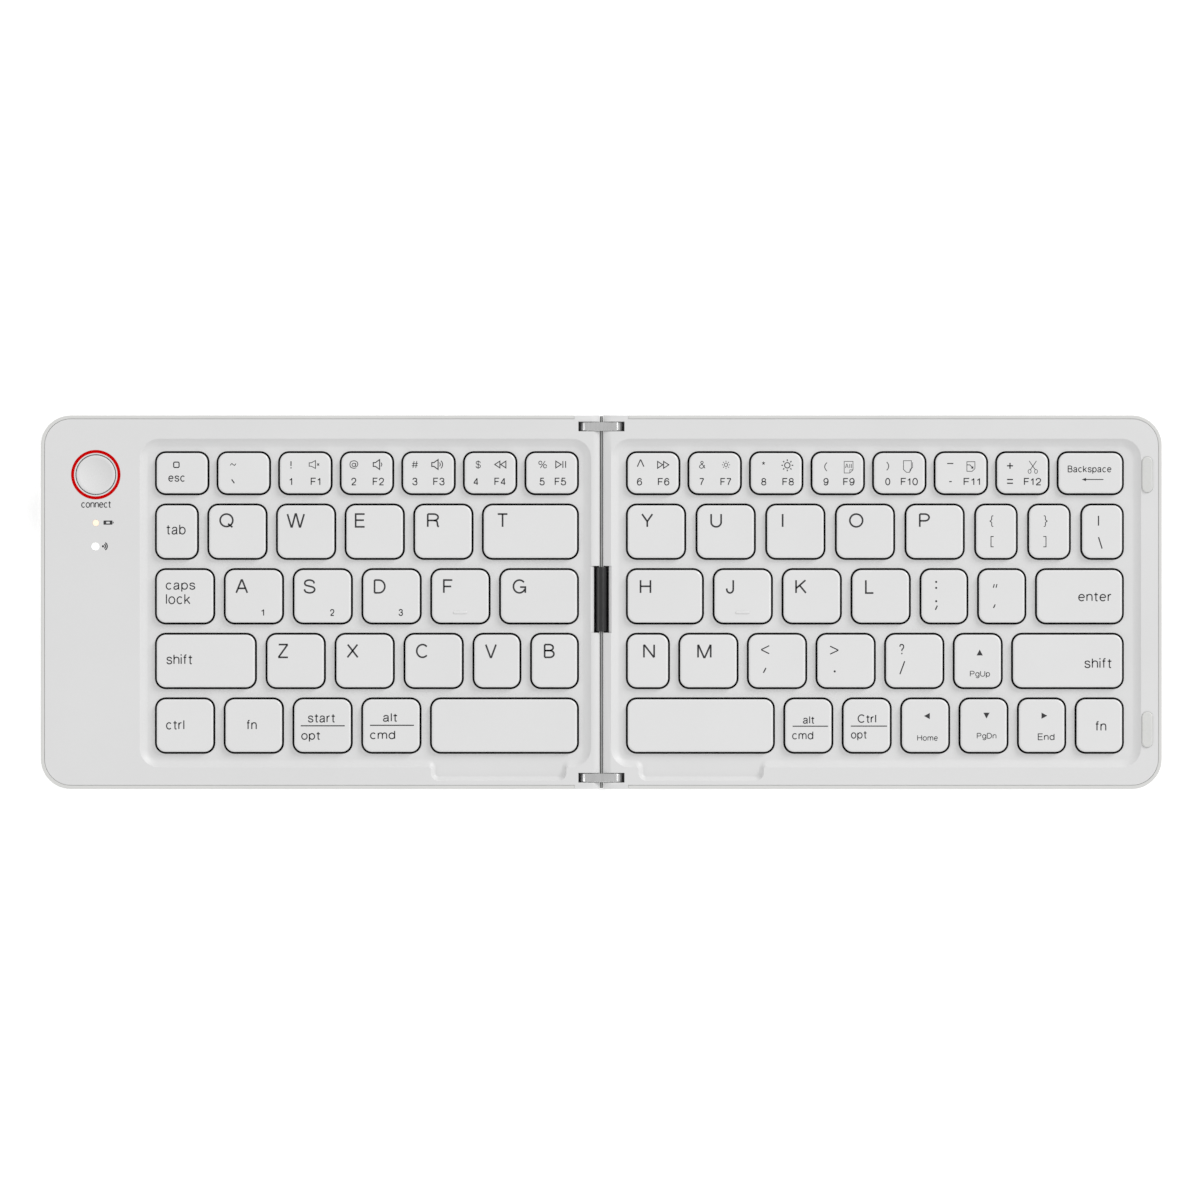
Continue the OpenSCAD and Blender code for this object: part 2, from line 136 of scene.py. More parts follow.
HALF_LEN, HALF_D, RIM, CORNER_R, WALL = 150.0, 50.0, 7.0, 8.0, 0.95
TRAY, UNDER, FOOT, FLOOR = 5.8, 4.8, 0.5, 1.5
EDGE_X, EDGE_W, EDGE_DROP = 0.5, 2.1, 0.98
PIVOT_X, PIVOT_Z, LINK_R, LINK_W, LINK_Y = 3.75, 5.05, 1.9, 2.3, 47.0
SLEEVE_R, SLEEVE_Y, NOTCH_R = 1.66, (-7.9, 9.4), 2.03
KEY_GAP, KEY_R, CAP_BOTTOM, CAP_TOP = 0.5, 2.9, 4.9, 7.1
SLOPE = (-1.2, 1.2)             # the slope round a tray runs from inside to outside its outline
BUTTON = (-135.3, 34.1)
BUTTON_R, RING_R = 5.2, 6.62
LENSES = ((-135.3, 21.2, 0.86), (-135.4, 14.9, 1.05))
PORT_Y, PORT_Z = 24.0, 3.95
PAD_X, PAD_Y = 146.08, 34.1
SCREWS = ((-145, 44.5), (-145, -44.5), (-62, 45.3), (-62, -45.3), (-12, 45.3), (-12, -45.3))
FEET = ((-137, 38), (-137, -38), (-15, 38), (-15, -38))

U, N = 16.15, 14.6
ROW_FRONT, ROW_PITCH, ROW_D, NUMBER_D = -40.6, 17.3, 15.1, 11.8
ROWS = {
    -1: [[U, U, U, U, 39.9], [27.3, U, U, U, 13.1, 13.1], [U, U, U, U, U, 21.4],
         [11.8, U, U, U, U, 26.0], [N] * 7],
    1: [[39.9, 13.4, 13.4, 13.4, 13.4, 13.2, 13.2], [11.8, U, U, U, U, 13.4, 30.2],
        [20.9, U, U, U, 13.1, 13.2, 23.8], [U, U, U, U, U, 11.7, 11.7, 11.7], [N] * 7 + [18.0]],
}
BLOCK = {-1: (-119.5, -6.0), 1: (6.55, 139.85)}


def key_rect(side, r, i):
    """A key's cut-out as (x0, y0, x1, y1)."""
    widths, (b0, b1) = ROWS[side][r], BLOCK[side]
    gap = (b1 - b0 - sum(widths)) / (len(widths) - 1)
    x, y = b0 + sum(widths[:i]) + i * gap, ROW_FRONT + r * ROW_PITCH
    return x, y, x + widths[i], y + (NUMBER_D if r == 4 else ROW_D)


KEYS = {
    "key_q": [(-1, 3, 1)], "key_w": [(-1, 3, 2)], "key_e": [(-1, 3, 3)], "key_r": [(-1, 3, 4)],
    "key_t": [(-1, 3, 5)], "key_a": [(-1, 2, 1)], "key_s": [(-1, 2, 2)], "key_d": [(-1, 2, 3)],
    "key_f": [(-1, 2, 4)], "key_g": [(-1, 2, 5)], "key_z": [(-1, 1, 1)], "key_x": [(-1, 1, 2)],
    "key_c": [(-1, 1, 3)], "key_v": [(-1, 1, 4)], "key_b": [(-1, 1, 5)],
    "key_space_left": [(-1, 0, 4)],
    "key_y": [(1, 3, 0)], "key_u": [(1, 3, 1)], "key_i": [(1, 3, 2)], "key_o": [(1, 3, 3)],
    "key_p": [(1, 3, 4)], "key_h": [(1, 2, 0)], "key_j": [(1, 2, 1)], "key_k": [(1, 2, 2)],
    "key_l": [(1, 2, 3)], "key_n": [(1, 1, 0)], "key_m": [(1, 1, 1)],
    "key_space_right": [(1, 0, 0)],
    "keys_number_left": [(-1, 4, i) for i in range(7)],
    "keys_number_right": [(1, 4, i) for i in range(8)],
    "keys_modifier_left": [(-1, 3, 0), (-1, 2, 0), (-1, 1, 0), (-1, 0, 0), (-1, 0, 1), (-1, 0, 2), (-1, 0, 3)],
    "keys_punctuation": [(1, 3, 5), (1, 3, 6), (1, 3, 7), (1, 2, 4), (1, 2, 5), (1, 1, 2), (1, 1, 3), (1, 1, 4)],
    "keys_modifier_right": [(1, 2, 6), (1, 1, 5), (1, 1, 6)] + [(1, 0, i) for i in range(1, 7)],
}

# ---------- Materials ----------


def srgb(r, g, b):
    def lin(c):
        c /= 255.0
        return c / 12.92 if c <= 0.04045 else ((c + 0.055) / 1.055) ** 2.4
    return (lin(r), lin(g), lin(b), 1.0)


def new_material(name):
    m = bpy.data.materials.new(name)
    m.use_nodes = True
    n = m.node_tree.nodes
    n.clear()
    out = n.new("ShaderNodeOutputMaterial")
    sh = n.new("ShaderNodeBsdfPrincipled")
    m.node_tree.links.new(sh.outputs["BSDF"], out.inputs["Surface"])
    co = n.new("ShaderNodeTexCoord")
    return m, n, m.node_tree.links, sh, co


def noise(n, links, co, scale, detail=3.0, rough=0.55, stretch=None):
    tex = n.new("ShaderNodeTexNoise")
    tex.inputs["Scale"].default_value = scale
    tex.inputs["Detail"].default_value = detail
    tex.inputs["Roughness"].default_value = rough
    if stretch:
        mp = n.new("ShaderNodeMapping")
        mp.inputs["Scale"].default_value = stretch
        links.new(co.outputs["Object"], mp.inputs["Vector"])
        links.new(mp.outputs["Vector"], tex.inputs["Vector"])
    else:
        links.new(co.outputs["Object"], tex.inputs["Vector"])
    return tex


def surface(name, dark, light, rough=(0.4, 0.5), grain=2200.0, bump=0.06, depth=0.02, cloud=35.0,
            metallic=0.0, specular=0.5, coat=0.0, stretch=None, sub=0.0, emission=None, strength=0.0,
            fine=0.35):
    """A moulded or metal surface: slow colour drift, a fine grain in colour, roughness and height."""
    m, n, links, sh, co = new_material(name)
    slow = noise(n, links, co, cloud, 4.0, 0.6)
    quick = noise(n, links, co, grain, 2.0, 0.6, stretch)
    mix = n.new("ShaderNodeMath")
    mix.operation = "MULTIPLY_ADD"
    mix.inputs[1].default_value = fine
    links.new(quick.outputs["Fac"], mix.inputs[0])
    half = n.new("ShaderNodeMath")
    half.operation = "MULTIPLY"
    half.inputs[1].default_value = 1.0 - fine
    links.new(slow.outputs["Fac"], half.inputs[0])
    links.new(half.outputs[0], mix.inputs[2])
    ramp = n.new("ShaderNodeValToRGB")
    ramp.color_ramp.elements[0].position = 0.30
    ramp.color_ramp.elements[1].position = 0.70
    ramp.color_ramp.elements[0].color = dark
    ramp.color_ramp.elements[1].color = light
    links.new(mix.outputs[0], ramp.inputs["Fac"])
    links.new(ramp.outputs["Color"], sh.inputs["Base Color"])
    rr = n.new("ShaderNodeMapRange")
    rr.inputs["From Min"].default_value = 0.3
    rr.inputs["From Max"].default_value = 0.7
    rr.inputs["To Min"].default_value = rough[0]
    rr.inputs["To Max"].default_value = rough[1]
    links.new(quick.outputs["Fac"], rr.inputs["Value"])
    links.new(rr.outputs["Result"], sh.inputs["Roughness"])
    bm = n.new("ShaderNodeBump")
    bm.inputs["Strength"].default_value = bump
    bm.inputs["Distance"].default_value = depth * MM
    links.new(quick.outputs["Fac"], bm.inputs["Height"])
    links.new(bm.outputs["Normal"], sh.inputs["Normal"])
    sh.inputs["Metallic"].default_value = metallic
    sh.inputs["Specular IOR Level"].default_value = specular
    if coat:
        sh.inputs["Coat Weight"].default_value = coat
        sh.inputs["Coat Roughness"].default_value = 0.15
    if sub:
        sh.inputs["Subsurface Weight"].default_value = sub
        sh.inputs["Subsurface Radius"].default_value = (0.0006, 0.0006, 0.0005)
    if emission:
        sh.inputs["Emission Color"].default_value = emission
        sh.inputs["Emission Strength"].default_value = strength
    return m


casing = surface("casing_plastic", srgb(215, 215, 215), srgb(219, 219, 219), rough=(0.40, 0.48), grain=2600, bump=0.05, depth=0.02)
casing_low = surface("casing_plastic_lower", srgb(208, 208, 206), srgb(214, 214, 212), rough=(0.38, 0.48), grain=2600, bump=0.05, depth=0.02)
cap_mat = surface("keycap_plastic", srgb(219, 219, 219), srgb(223, 223, 223), rough=(0.36, 0.46), grain=3200, bump=0.05, depth=0.015, coat=0.6)
ink = surface("legend_ink", srgb(46, 46, 48), srgb(60, 60, 62), rough=(0.55, 0.7), grain=5200, bump=0.15, depth=0.01, cloud=900, specular=0.3)
# painted shade: a mid-grey for the depths of the link slots, in place of the shade inside them
slot_painted_shade = surface("slot_painted_shade", srgb(176, 176, 177), srgb(190, 190, 191), rough=(0.6, 0.75), grain=1800, bump=0.15, depth=0.03, specular=0.2)
# painted shade: a near-black for the notch faces beside the cable sleeve, where shade falls in the gap; also the real
# black tongue inside the charge port
shade_and_tongue_black = surface("shadow_plastic", srgb(20, 20, 21), srgb(30, 30, 31), rough=(0.6, 0.75), grain=1800, bump=0.15, depth=0.03, specular=0.2)
red = surface("ring_red", srgb(186, 0, 0), srgb(202, 0, 1), rough=(0.6, 0.7), grain=2600, bump=0.05, depth=0.02, specular=0.03)
lens_warm = surface("lens_warm", srgb(255, 222, 198), srgb(255, 234, 216), rough=(0.12, 0.25), grain=2400, bump=0.03, depth=0.01, sub=0.2, emission=srgb(255, 230, 208), strength=0.3)
lens_cool = surface("lens_white", srgb(246, 247, 248), srgb(255, 255, 255), rough=(0.12, 0.25), grain=2400, bump=0.03, depth=0.01, sub=0.2, emission=srgb(255, 255, 255), strength=0.4)
button_mat = surface("button_plastic", srgb(215, 215, 215), srgb(219, 219, 219), rough=(0.40, 0.48), grain=2600, bump=0.05, depth=0.02)
link_metal = surface("satin_metal", srgb(200, 200, 200), srgb(216, 216, 216), rough=(0.22, 0.3), grain=1500, bump=0.1, depth=0.02, metallic=0.85, stretch=(1.0, 0.08, 1.0), cloud=120)
# painted shade: the spine belongs to the same metal piece as the links and takes a darker copy of their colour, for the
# shade it sits in between the halves
spine_metal_painted_shade = surface("spine_metal_painted_shade", srgb(146, 147, 146), srgb(164, 165, 164), rough=(0.4, 0.55), grain=1500, bump=0.12, depth=0.02, metallic=0.3, stretch=(1.0, 0.08, 1.0), cloud=120, specular=0.3)
pin_steel = surface("pin_steel", srgb(140, 140, 142), srgb(170, 170, 172), rough=(0.2, 0.3), grain=2200, bump=0.06, metallic=1.0, stretch=(1.0, 0.1, 1.0))
sleeve_black = surface("sleeve_black", srgb(26, 26, 27), srgb(38, 38, 39), rough=(0.28, 0.36), grain=1700, bump=0.12, depth=0.03, cloud=150, specular=0.5)
film = surface("flex_film", srgb(24, 24, 25), srgb(40, 40, 41), rough=(0.25, 0.4), grain=900, bump=0.05, stretch=(0.05, 1.0, 1.0), coat=0.3)
black_steel = surface("plate_black", srgb(24, 24, 25), srgb(36, 36, 37), rough=(0.45, 0.6), grain=1500, bump=0.1, specular=0.3)
dome_rubber = surface("dome_rubber", srgb(26, 26, 27), srgb(40, 40, 41), rough=(0.55, 0.7), grain=1500, bump=0.1, specular=0.3)
scissor = surface("scissor_plastic", srgb(28, 28, 29), srgb(42, 42, 43), rough=(0.45, 0.6), grain=1800, bump=0.1, specular=0.3)
screw_steel = surface("screw_steel", srgb(120, 120, 122), srgb(160, 160, 162), rough=(0.22, 0.34), grain=1900, bump=0.08, metallic=1.0)
foot_rubber = surface("foot_rubber", srgb(150, 150, 149), srgb(172, 172, 170), rough=(0.65, 0.8), grain=1600, bump=0.3, depth=0.04, specular=0.3)
pad_rubber = surface("pad_rubber", srgb(203, 204, 202), srgb(215, 215, 213), rough=(0.5, 0.62), grain=1800, bump=0.15, depth=0.03, sub=0.15)
nickel = surface("magnet_nickel", srgb(170, 168, 162), srgb(196, 194, 188), rough=(0.15, 0.28), grain=1500, bump=0.04, metallic=1.0)
foil = surface("battery_foil", srgb(168, 170, 174), srgb(196, 198, 202), rough=(0.3, 0.5), grain=300, bump=0.4, depth=0.1, metallic=0.7, cloud=90)
board = surface("board_green", srgb(16, 66, 34), srgb(28, 96, 50), rough=(0.35, 0.5), grain=700, bump=0.15, depth=0.03, coat=0.3, cloud=300)
port_steel = surface("port_steel", srgb(150, 150, 152), srgb(184, 184, 186), rough=(0.22, 0.34), grain=1700, bump=0.06, metallic=1.0, stretch=(0.1, 1.0, 1.0))

# ---------- Mesh tools ----------


class Shape:
    """Points in millimetres and faces with a material number."""

    def __init__(self):
        self.v, self.f, self.m = [], [], []

    def add(self, pts):
        n = len(self.v)
        self.v += [tuple(p) for p in pts]
        return list(range(n, n + len(pts)))

    def face(self, ids, mat=0):
        self.f.append(tuple(ids))
        self.m.append(mat)

    def loft(self, rings, mat=0):
        """A closed solid through rings of as many points each."""
        ids = [self.add(r) for r in rings]
        self.face(ids[0][::-1], mat)
        for a, b in zip(ids, ids[1:]):
            n = len(a)
            for i in range(n):
                self.face([a[i], a[(i + 1) % n], b[(i + 1) % n], b[i]], mat)
        self.face(ids[-1], mat)
        return self

    def box(self, x0, y0, z0, x1, y1, z1, mat=0):
        ring = [(x0, y0), (x1, y0), (x1, y1), (x0, y1)]
        return self.loft([[(x, y, z) for x, y in ring] for z in (z0, z1)], mat)

    def turned(self, cx, cy, profile, n=64, mat=0):
        """A solid turned round an upright axis; the profile runs from the axis below to the axis above."""
        low = self.add([(cx, cy, profile[0][1])])[0]
        rings = [self.add([(cx + r * math.cos(2 * math.pi * k / n), cy + r * math.sin(2 * math.pi * k / n), z)
                           for k in range(n)]) for r, z in profile[1:-1]]
        high = self.add([(cx, cy, profile[-1][1])])[0]
        for i in range(n):
            j = (i + 1) % n
            self.face([low, rings[0][j], rings[0][i]], mat)
            self.face([high, rings[-1][i], rings[-1][j]], mat)
            for a, b in zip(rings, rings[1:]):
                self.face([a[i], a[j], b[j], b[i]], mat)
        return self

    def hoop(self, cx, cy, profile, n=96, mat=0):
        """A closed profile (r, z) turned round an upright axis that it doesn't touch."""
        rings = [self.add([(cx + r * math.cos(2 * math.pi * k / n), cy + r * math.sin(2 * math.pi * k / n), z)
                           for k in range(n)]) for r, z in profile]
        for a, b in zip(rings, rings[1:] + rings[:1]):
            for i in range(n):
                j = (i + 1) % n
                self.face([a[i], a[j], b[j], b[i]], mat)
        return self

    def join(self, other, mat=None):
        n = len(self.v)
        self.v += other.v
        self.f += [tuple(k + n for k in f) for f in other.f]
        self.m += other.m if mat is None else [mat] * len(other.f)
        return self

    def mirrored(self):
        s = Shape()
        s.v = [(-x, y, z) for x, y, z in self.v]
        s.f = [f[::-1] for f in self.f]
        s.m = list(self.m)
        return s


def make(shape, name, mats):
    me = bpy.data.meshes.new(name)
    me.from_pydata([(x * MM, y * MM, z * MM) for x, y, z in shape.v], [], shape.f)
    for m in mats:
        me.materials.append(m)
    for p, k in zip(me.polygons, shape.m):
        p.material_index = k
    bm = bmesh.new()
    bm.from_mesh(me)
    bmesh.ops.recalc_face_normals(bm, faces=bm.faces)
    bm.to_mesh(me)
    bm.free()
    ob = bpy.data.objects.new(name, me)
    bpy.context.scene.collection.objects.link(ob)
    return ob


def take_away(ob):
    me = ob.data
    bpy.data.objects.remove(ob)
    if me.users == 0:
        bpy.data.meshes.remove(me)


def state(me):
    """How many edges are open, the volume, and the box, in millimetres."""
    bm = bmesh.new()
    bm.from_mesh(me)
    loose = sum(1 for e in bm.edges if len(e.link_faces) != 2)
    vol = bm.calc_volume() / MM ** 3
    box = [f(v.co[k] for v in bm.verts) / MM for k in range(3) for f in (min, max)]
    bm.free()
    return loose, vol, box


def combine(ob, shapes, how="DIFFERENCE"):
    """Cuts the shapes from ob, or adds them, one after another. A cut that comes out open, or larger than
    what it was made in, is tried again with the tool a few thousandths of a millimetre further on."""
    for k, s in enumerate(shapes):
        was = state(ob.data)
        for n in range(7):
            tool = make(s, "tool_%d" % k, list(ob.data.materials))
            tool.location = (0.0021 * n * MM, 0.0013 * n * MM, 0.0017 * n * MM)
            mod = ob.modifiers.new("combine", "BOOLEAN")
            mod.object = tool
            mod.operation = how
            mod.solver = "EXACT"
            mod.use_hole_tolerant = n % 2 == 1
            dg = bpy.context.evaluated_depsgraph_get()
            me = bpy.data.meshes.new_from_object(ob.evaluated_get(dg))
            ob.modifiers.clear()
            take_away(tool)
            now = state(me)
            good = now[0] <= was[0] and now[1] > 0
            if how == "DIFFERENCE":
                good = good and now[1] < was[1] + 0.01
                good = good and all((now[2][i] - was[2][i]) * (1, -1)[i % 2] > -0.01 for i in range(6))
            if good or n == 6:
                break
            bpy.data.meshes.remove(me)
        if n or not good:
            print("combine", ob.name, how, k, "try", n, now[0], "%.1f -> %.1f mm3" % (was[1], now[1]), "" if good else "NOT RIGHT")
        old = ob.data
        ob.data = me
        bpy.data.meshes.remove(old)
    return ob


def append(ob, shape, mat):
    """Adds closed shells to ob's mesh under one of its materials."""
    bm = bmesh.new()
    bm.from_mesh(ob.data)
    vs = [bm.verts.new((x * MM, y * MM, z * MM)) for x, y, z in shape.v]
    fs = []
    for f in shape.f:
        try:
            face = bm.faces.new([vs[k] for k in f])
        except ValueError:
            continue
        face.material_index = mat
        fs.append(face)
    bmesh.ops.recalc_face_normals(bm, faces=fs)
    bm.to_mesh(ob.data)
    bm.free()


def smooth(ob, angle=38.0):
    """Smooth shading that keeps large flats flat and edges over the angle crisp."""
    me = ob.data
    for p in me.polygons:
        p.use_smooth = True
    me.set_sharp_from_angle(angle=math.radians(angle))
    mod = ob.modifiers.new("flats", "WEIGHTED_NORMAL")
    mod.mode = "FACE_AREA"
    mod.weight = 50
    mod.keep_sharp = True
    dg = bpy.context.evaluated_depsgraph_get()
    new = bpy.data.meshes.new_from_object(ob.evaluated_get(dg))
    ob.modifiers.clear()
    ob.data = new
    bpy.data.meshes.remove(me)
    return ob


def corners(pts, d=0.0, n=8):
    """A closed path, anticlockwise, round (x, y, radius) corners with square sides, moved out by d."""
    out = []
    for k, (x, y, r) in enumerate(pts):
        px, py = pts[k - 1][:2]
        qx, qy = pts[(k + 1) % len(pts)][:2]
        a = Vector((x - px, y - py)).normalized()
        b = Vector((qx - x, qy - y)).normalized()
        na, nb = Vector((a.y, -a.x)), Vector((b.y, -b.x))
        turn = a.x * b.y - a.y * b.x
        c = Vector((x, y)) + (na + nb) * d
        s = 1.0 if turn > 0 else -1.0
        rr = max(r + s * d, 0.02)
        mid = c - (na + nb) * rr * s
        a0 = math.atan2(s * na.y, s * na.x)
        for i in range(n + 1):
            t = a0 + s * (math.pi / 2) * i / n
            out.append((mid.x + rr * math.cos(t), mid.y + rr * math.sin(t)))
    return out


def rect_path(x0, y0, x1, y1, r, d=0.0, n=7):
    return corners([(x0, y0, r), (x1, y0, r), (x1, y1, r), (x0, y1, r)], d, n)


def pill_path(cx, cy, length, r, d=0.0, n=24):
    """An upright pill, round at both ends."""
    out = []
    for s, start in ((1, 0.0), (-1, math.pi)):
        for i in range(n + 1):
            t = start + math.pi * i / n
            out.append((cx + (r + d) * math.cos(t), cy + s * (length / 2 - r) + (r + d) * math.sin(t)))
    return out


def at(path, z):
    return [(x, y, z) for x, y in path]


def circle_path(cx, cy, r, n=48):
    return [(cx + r * math.cos(2 * math.pi * k / n), cy + r * math.sin(2 * math.pi * k / n)) for k in range(n)]


def quarter(steps):
    return [math.pi / 2 * k / steps for k in range(steps + 1)]


# ---------- Covers ----------


def half_path(d, inner, n=12):
    """A left half's outline, moved in by d at its outer sides, ending at x = -inner."""
    return corners([(-HALF_LEN + d, -HALF_D + d, CORNER_R - d), (-inner, -HALF_D + d, 0.3),
                    (-inner, HALF_D - d, 0.3), (-HALF_LEN + d, HALF_D - d, CORNER_R - d)], 0.0, n)


TRAYS = {
    -1: [(-122.4, -43.1, 4), (-45, -43.1, 1.5), (-45, -47.2, 1.5), (-10, -47.2, 1.5), (-10, -43.1, 1.5),
         (-3.85, -43.1, 4), (-3.85, 42.6, 4), (-122.4, 42.6, 4)],
    1: [(3.7, -43.1, 4), (10.6, -43.1, 1.5), (10.6, -47.2, 1.5), (42.8, -47.2, 1.5), (42.8, -43.1, 1.5),
        (143.3, -43.1, 4), (143.3, 42.6, 4), (3.7, 42.6, 4)],
}


def tray_path(side, d, n=8):
    """The tray's outline moved out by d; the slope is narrower round the recess, corners 1 to 4."""
    wide, tight = corners(TRAYS[side], d, n), corners(TRAYS[side], d * 0.58, n)
    out = []
    for k, ((x, y), (u, v)) in enumerate(zip(wide, tight)):
        c, t = k // (n + 1), (k % (n + 1)) / n
        w = {1: t, 2: 1.0, 3: 1.0, 4: 1.0 - t}.get(c, 0.0)
        out.append((x + (u - x) * w, y + (v - y) * w))
    return out


def tub(side):
    rb = 1.3
    rings = [at(half_path(rb * (1 - math.sin(t)), EDGE_X + 0.3 * rb * (1 - math.sin(t))), FOOT + rb * (1 - math.cos(t)))
             for t in quarter(6)]
    rings += [at(half_path(d, EDGE_X), z) for d, z in ((0.0, 6.80), (0.03, 6.91), (0.09, 6.97), (0.2, RIM))]
    body = Shape().loft(rings)
    cavity = Shape().loft([at(half_path(d, EDGE_X + 1), z)
                           for d, z in ((WALL, FLOOR), (WALL, 6.86), (WALL - 0.05, 6.95), (WALL - 0.16, RIM + 0.001), (WALL - 0.16, 9))])
    tools = [cavity, Shape().box(-EDGE_X - 1.6, -51, UNDER, 1, 51, 9),
             Shape().box(-EDGE_X - 1.6, SLEEVE_Y[0] - 0.9, FLOOR, 1, SLEEVE_Y[1] + 0.9, 9)]
    for s in (-1, 1):
        y = sorted((s * 41.95, s * 51))
        tools.append(Shape().box(-7.25, y[0], FLOOR, 1, y[1], 9))
    wells = Shape()
    for x, y in SCREWS:
        wells.loft([at(circle_path(x, y, 1.85), -1), at(circle_path(x, y, 1.85), FOOT), at(circle_path(x, y, 1.6), FOOT + 0.2), at(circle_path(x, y, 1.6), FOOT + 0.6)])
    for x, y in FEET:
        wells.loft([at(circle_path(x, y, 4.15), -1), at(circle_path(x, y, 4.15), FOOT), at(circle_path(x, y, 4.0), FOOT + 0.12), at(circle_path(x, y, 4.0), FOOT + 0.3)])
    tools.append(wells)
    if side > 0:
        body, tools = body.mirrored(), [t.mirrored() for t in tools]
    else:
        tools.append(port_room())
    ob = make(body, ("left" if side < 0 else "right") + "_tub_look", [casing_low, shade_and_tongue_black])
    combine(ob, tools)
    return smooth(ob)


def port_room():
    ring = [(PORT_Y + b, PORT_Z + a) for a, b in pill_path(0, 0, 9.2, 1.75)]
    big = [(PORT_Y + b, PORT_Z + a) for a, b in pill_path(0, 0, 9.2, 1.75, 0.25)]
    return Shape().loft([[(x, y, z) for y, z in path]
                         for x, path in ((-HALF_LEN - 1, big), (-HALF_LEN, big), (-HALF_LEN + 0.25, ring), (-HALF_LEN + 9, ring))])


def cover(side):
    d0 = WALL + 0.05
    rings = [at(half_path(d0, EDGE_X), UNDER)]
    rings += [at(half_path(d0 + d, EDGE_X), z) for d, z in ((0.0, 6.84), (0.03, 6.93), (0.08, 6.98), (0.15, RIM))]
    body = Shape().loft(rings)
    knuckles = Shape()
    for s in (-1, 1):
        y0, y1 = sorted((s * 42.0, s * HALF_D))
        def ring(d, z):
            a, b = (y0, y1 - d) if s > 0 else (y0 + d, y1)
            return at([(-7.2, a), (-EDGE_X - 0.006, a), (-EDGE_X - 0.006, b), (-7.2, b)], z)
        knuckles.loft([ring(0.0, FLOOR), ring(0.0, 6.7), ring(0.04, 6.85), ring(0.15, 6.95), ring(0.3, RIM - 0.006)])
    # the bevelled inner edge
    a, b, k = -EDGE_X - EDGE_W, -EDGE_X, EDGE_DROP / EDGE_W
    prof = [(a - 0.3, RIM + 0.3 * k), (b - 0.1, RIM - EDGE_DROP + 0.1 * k), (b - 0.03, RIM - EDGE_DROP - 0.02), (b + 0.02, RIM - EDGE_DROP - 0.12)]
    prof += [(1.0, RIM - EDGE_DROP - 0.12), (1.0, 9.0), (a - 0.3, 9.0)]
    edge = Shape().loft([[(x, y, z) for x, z in prof] for y in (-52, 52)])
    # the sleeve's notch
    prof = [(-PIVOT_X + NOTCH_R * math.sin(t), PIVOT_Z + NOTCH_R * math.cos(t)) for t in quarter(12)]
    prof += [(-PIVOT_X + NOTCH_R, 0.5), (1.0, 0.5), (1.0, 9.5), (-PIVOT_X, 9.5)]
    notch = Shape().loft([[(x, y, z) for x, z in prof] for y in (SLEEVE_Y[0] - 0.3, SLEEVE_Y[1] + 0.3)])
    slots = Shape()
    for s in (-1, 1):
        y = s * LINK_Y
        w = LINK_W / 2 + 0.12
        slots.loft([[(-PIVOT_X - LINK_R - 0.5 - d, y - w - d * 0.6, z), (1.5, y - w - d * 0.6, z), (1.5, y + w + d * 0.6, z), (-PIVOT_X - LINK_R - 0.5 - d, y + w + d * 0.6, z)]
                    for d, z in ((0.0, 2.9), (0.0, 6.9), (0.1, 7.0), (0.1, 12.0))])
    room = Shape().box(-HALF_LEN + 2.2, -42.4, 3.0, -HALF_LEN + 27.2, 42.4, TRAY)
    tools_l = [knuckles]
    first = [edge, notch, slots]
    cuts = []
    if side > 0:
        body = body.mirrored()
        tools_l = [t.mirrored() for t in tools_l]
        first = [t.mirrored() for t in first]
    else:
        cuts += [room, port_room()]
    # tray with a hollow slope all round
    steps = 12
    rings = []
    for k in range(steps + 1):
        t = k / steps
        rings.append(at(tray_path(side, SLOPE[0] + (SLOPE[1] - SLOPE[0] - 0.16) * t), TRAY + (RIM - TRAY - 0.06) * t ** 1.8))
    rings += [at(tray_path(side, SLOPE[1] - d), z) for d, z in ((0.08, RIM - 0.02), (0.0, RIM + 0.003), (0.0, 9.0))]
    tray = Shape().loft(rings)
    holes = Shape()
    rf = 0.09
    for r in range(5):
        for i in range(len(ROWS[side][r])):
            q = key_rect(side, r, i)
            ring = lambda d, z: at(rect_path(*q, KEY_R, d), z)
            holes.loft([ring(0.0, 3.5)] + [ring(rf * (1 - math.cos(t)), TRAY - rf + rf * math.sin(t)) for t in quarter(3)] + [ring(rf, 6.6)])
    cuts = first + [tray, holes] + cuts
    if side < 0:
        x, y = BUTTON
        wells = Shape().loft([at(circle_path(x, y, BUTTON_R + 0.25 + d, 96), z) for d, z in ((0.0, 3.0), (0.0, 6.9), (0.03, 6.97), (0.1, RIM), (0.1, 9.0))])
        for lx, ly, lr in LENSES:
            wells.loft([at(circle_path(lx, ly, lr + 0.03), 3.0), at(circle_path(lx, ly, lr + 0.03), 9.0)])
        groove = Shape().hoop(x, y, [(RING_R - 0.82, RIM - 0.5), (RING_R, RIM - 0.5), (RING_R, 9.0), (RING_R - 0.82, 9.0)])
        cuts += [wells, groove]
    else:
        seats = Shape()
        for s in (-1, 1):
            seats.loft([at(pill_path(PAD_X, s * PAD_Y, 9.6, 1.45, 0.03), RIM - 0.6),
                        at(pill_path(PAD_X, s * PAD_Y, 9.6, 1.45, 0.03), RIM - 0.06),
                        at(pill_path(PAD_X, s * PAD_Y, 9.6, 1.45, 0.12), RIM),
                        at(pill_path(PAD_X, s * PAD_Y, 9.6, 1.45, 0.12), 9)])
        cuts.append(seats)
    ob = make(body, ("left" if side < 0 else "right") + "_cover_look", [casing, ink, shade_and_tongue_black, slot_painted_shade])
    combine(ob, tools_l, "UNION")
    combine(ob, cuts)
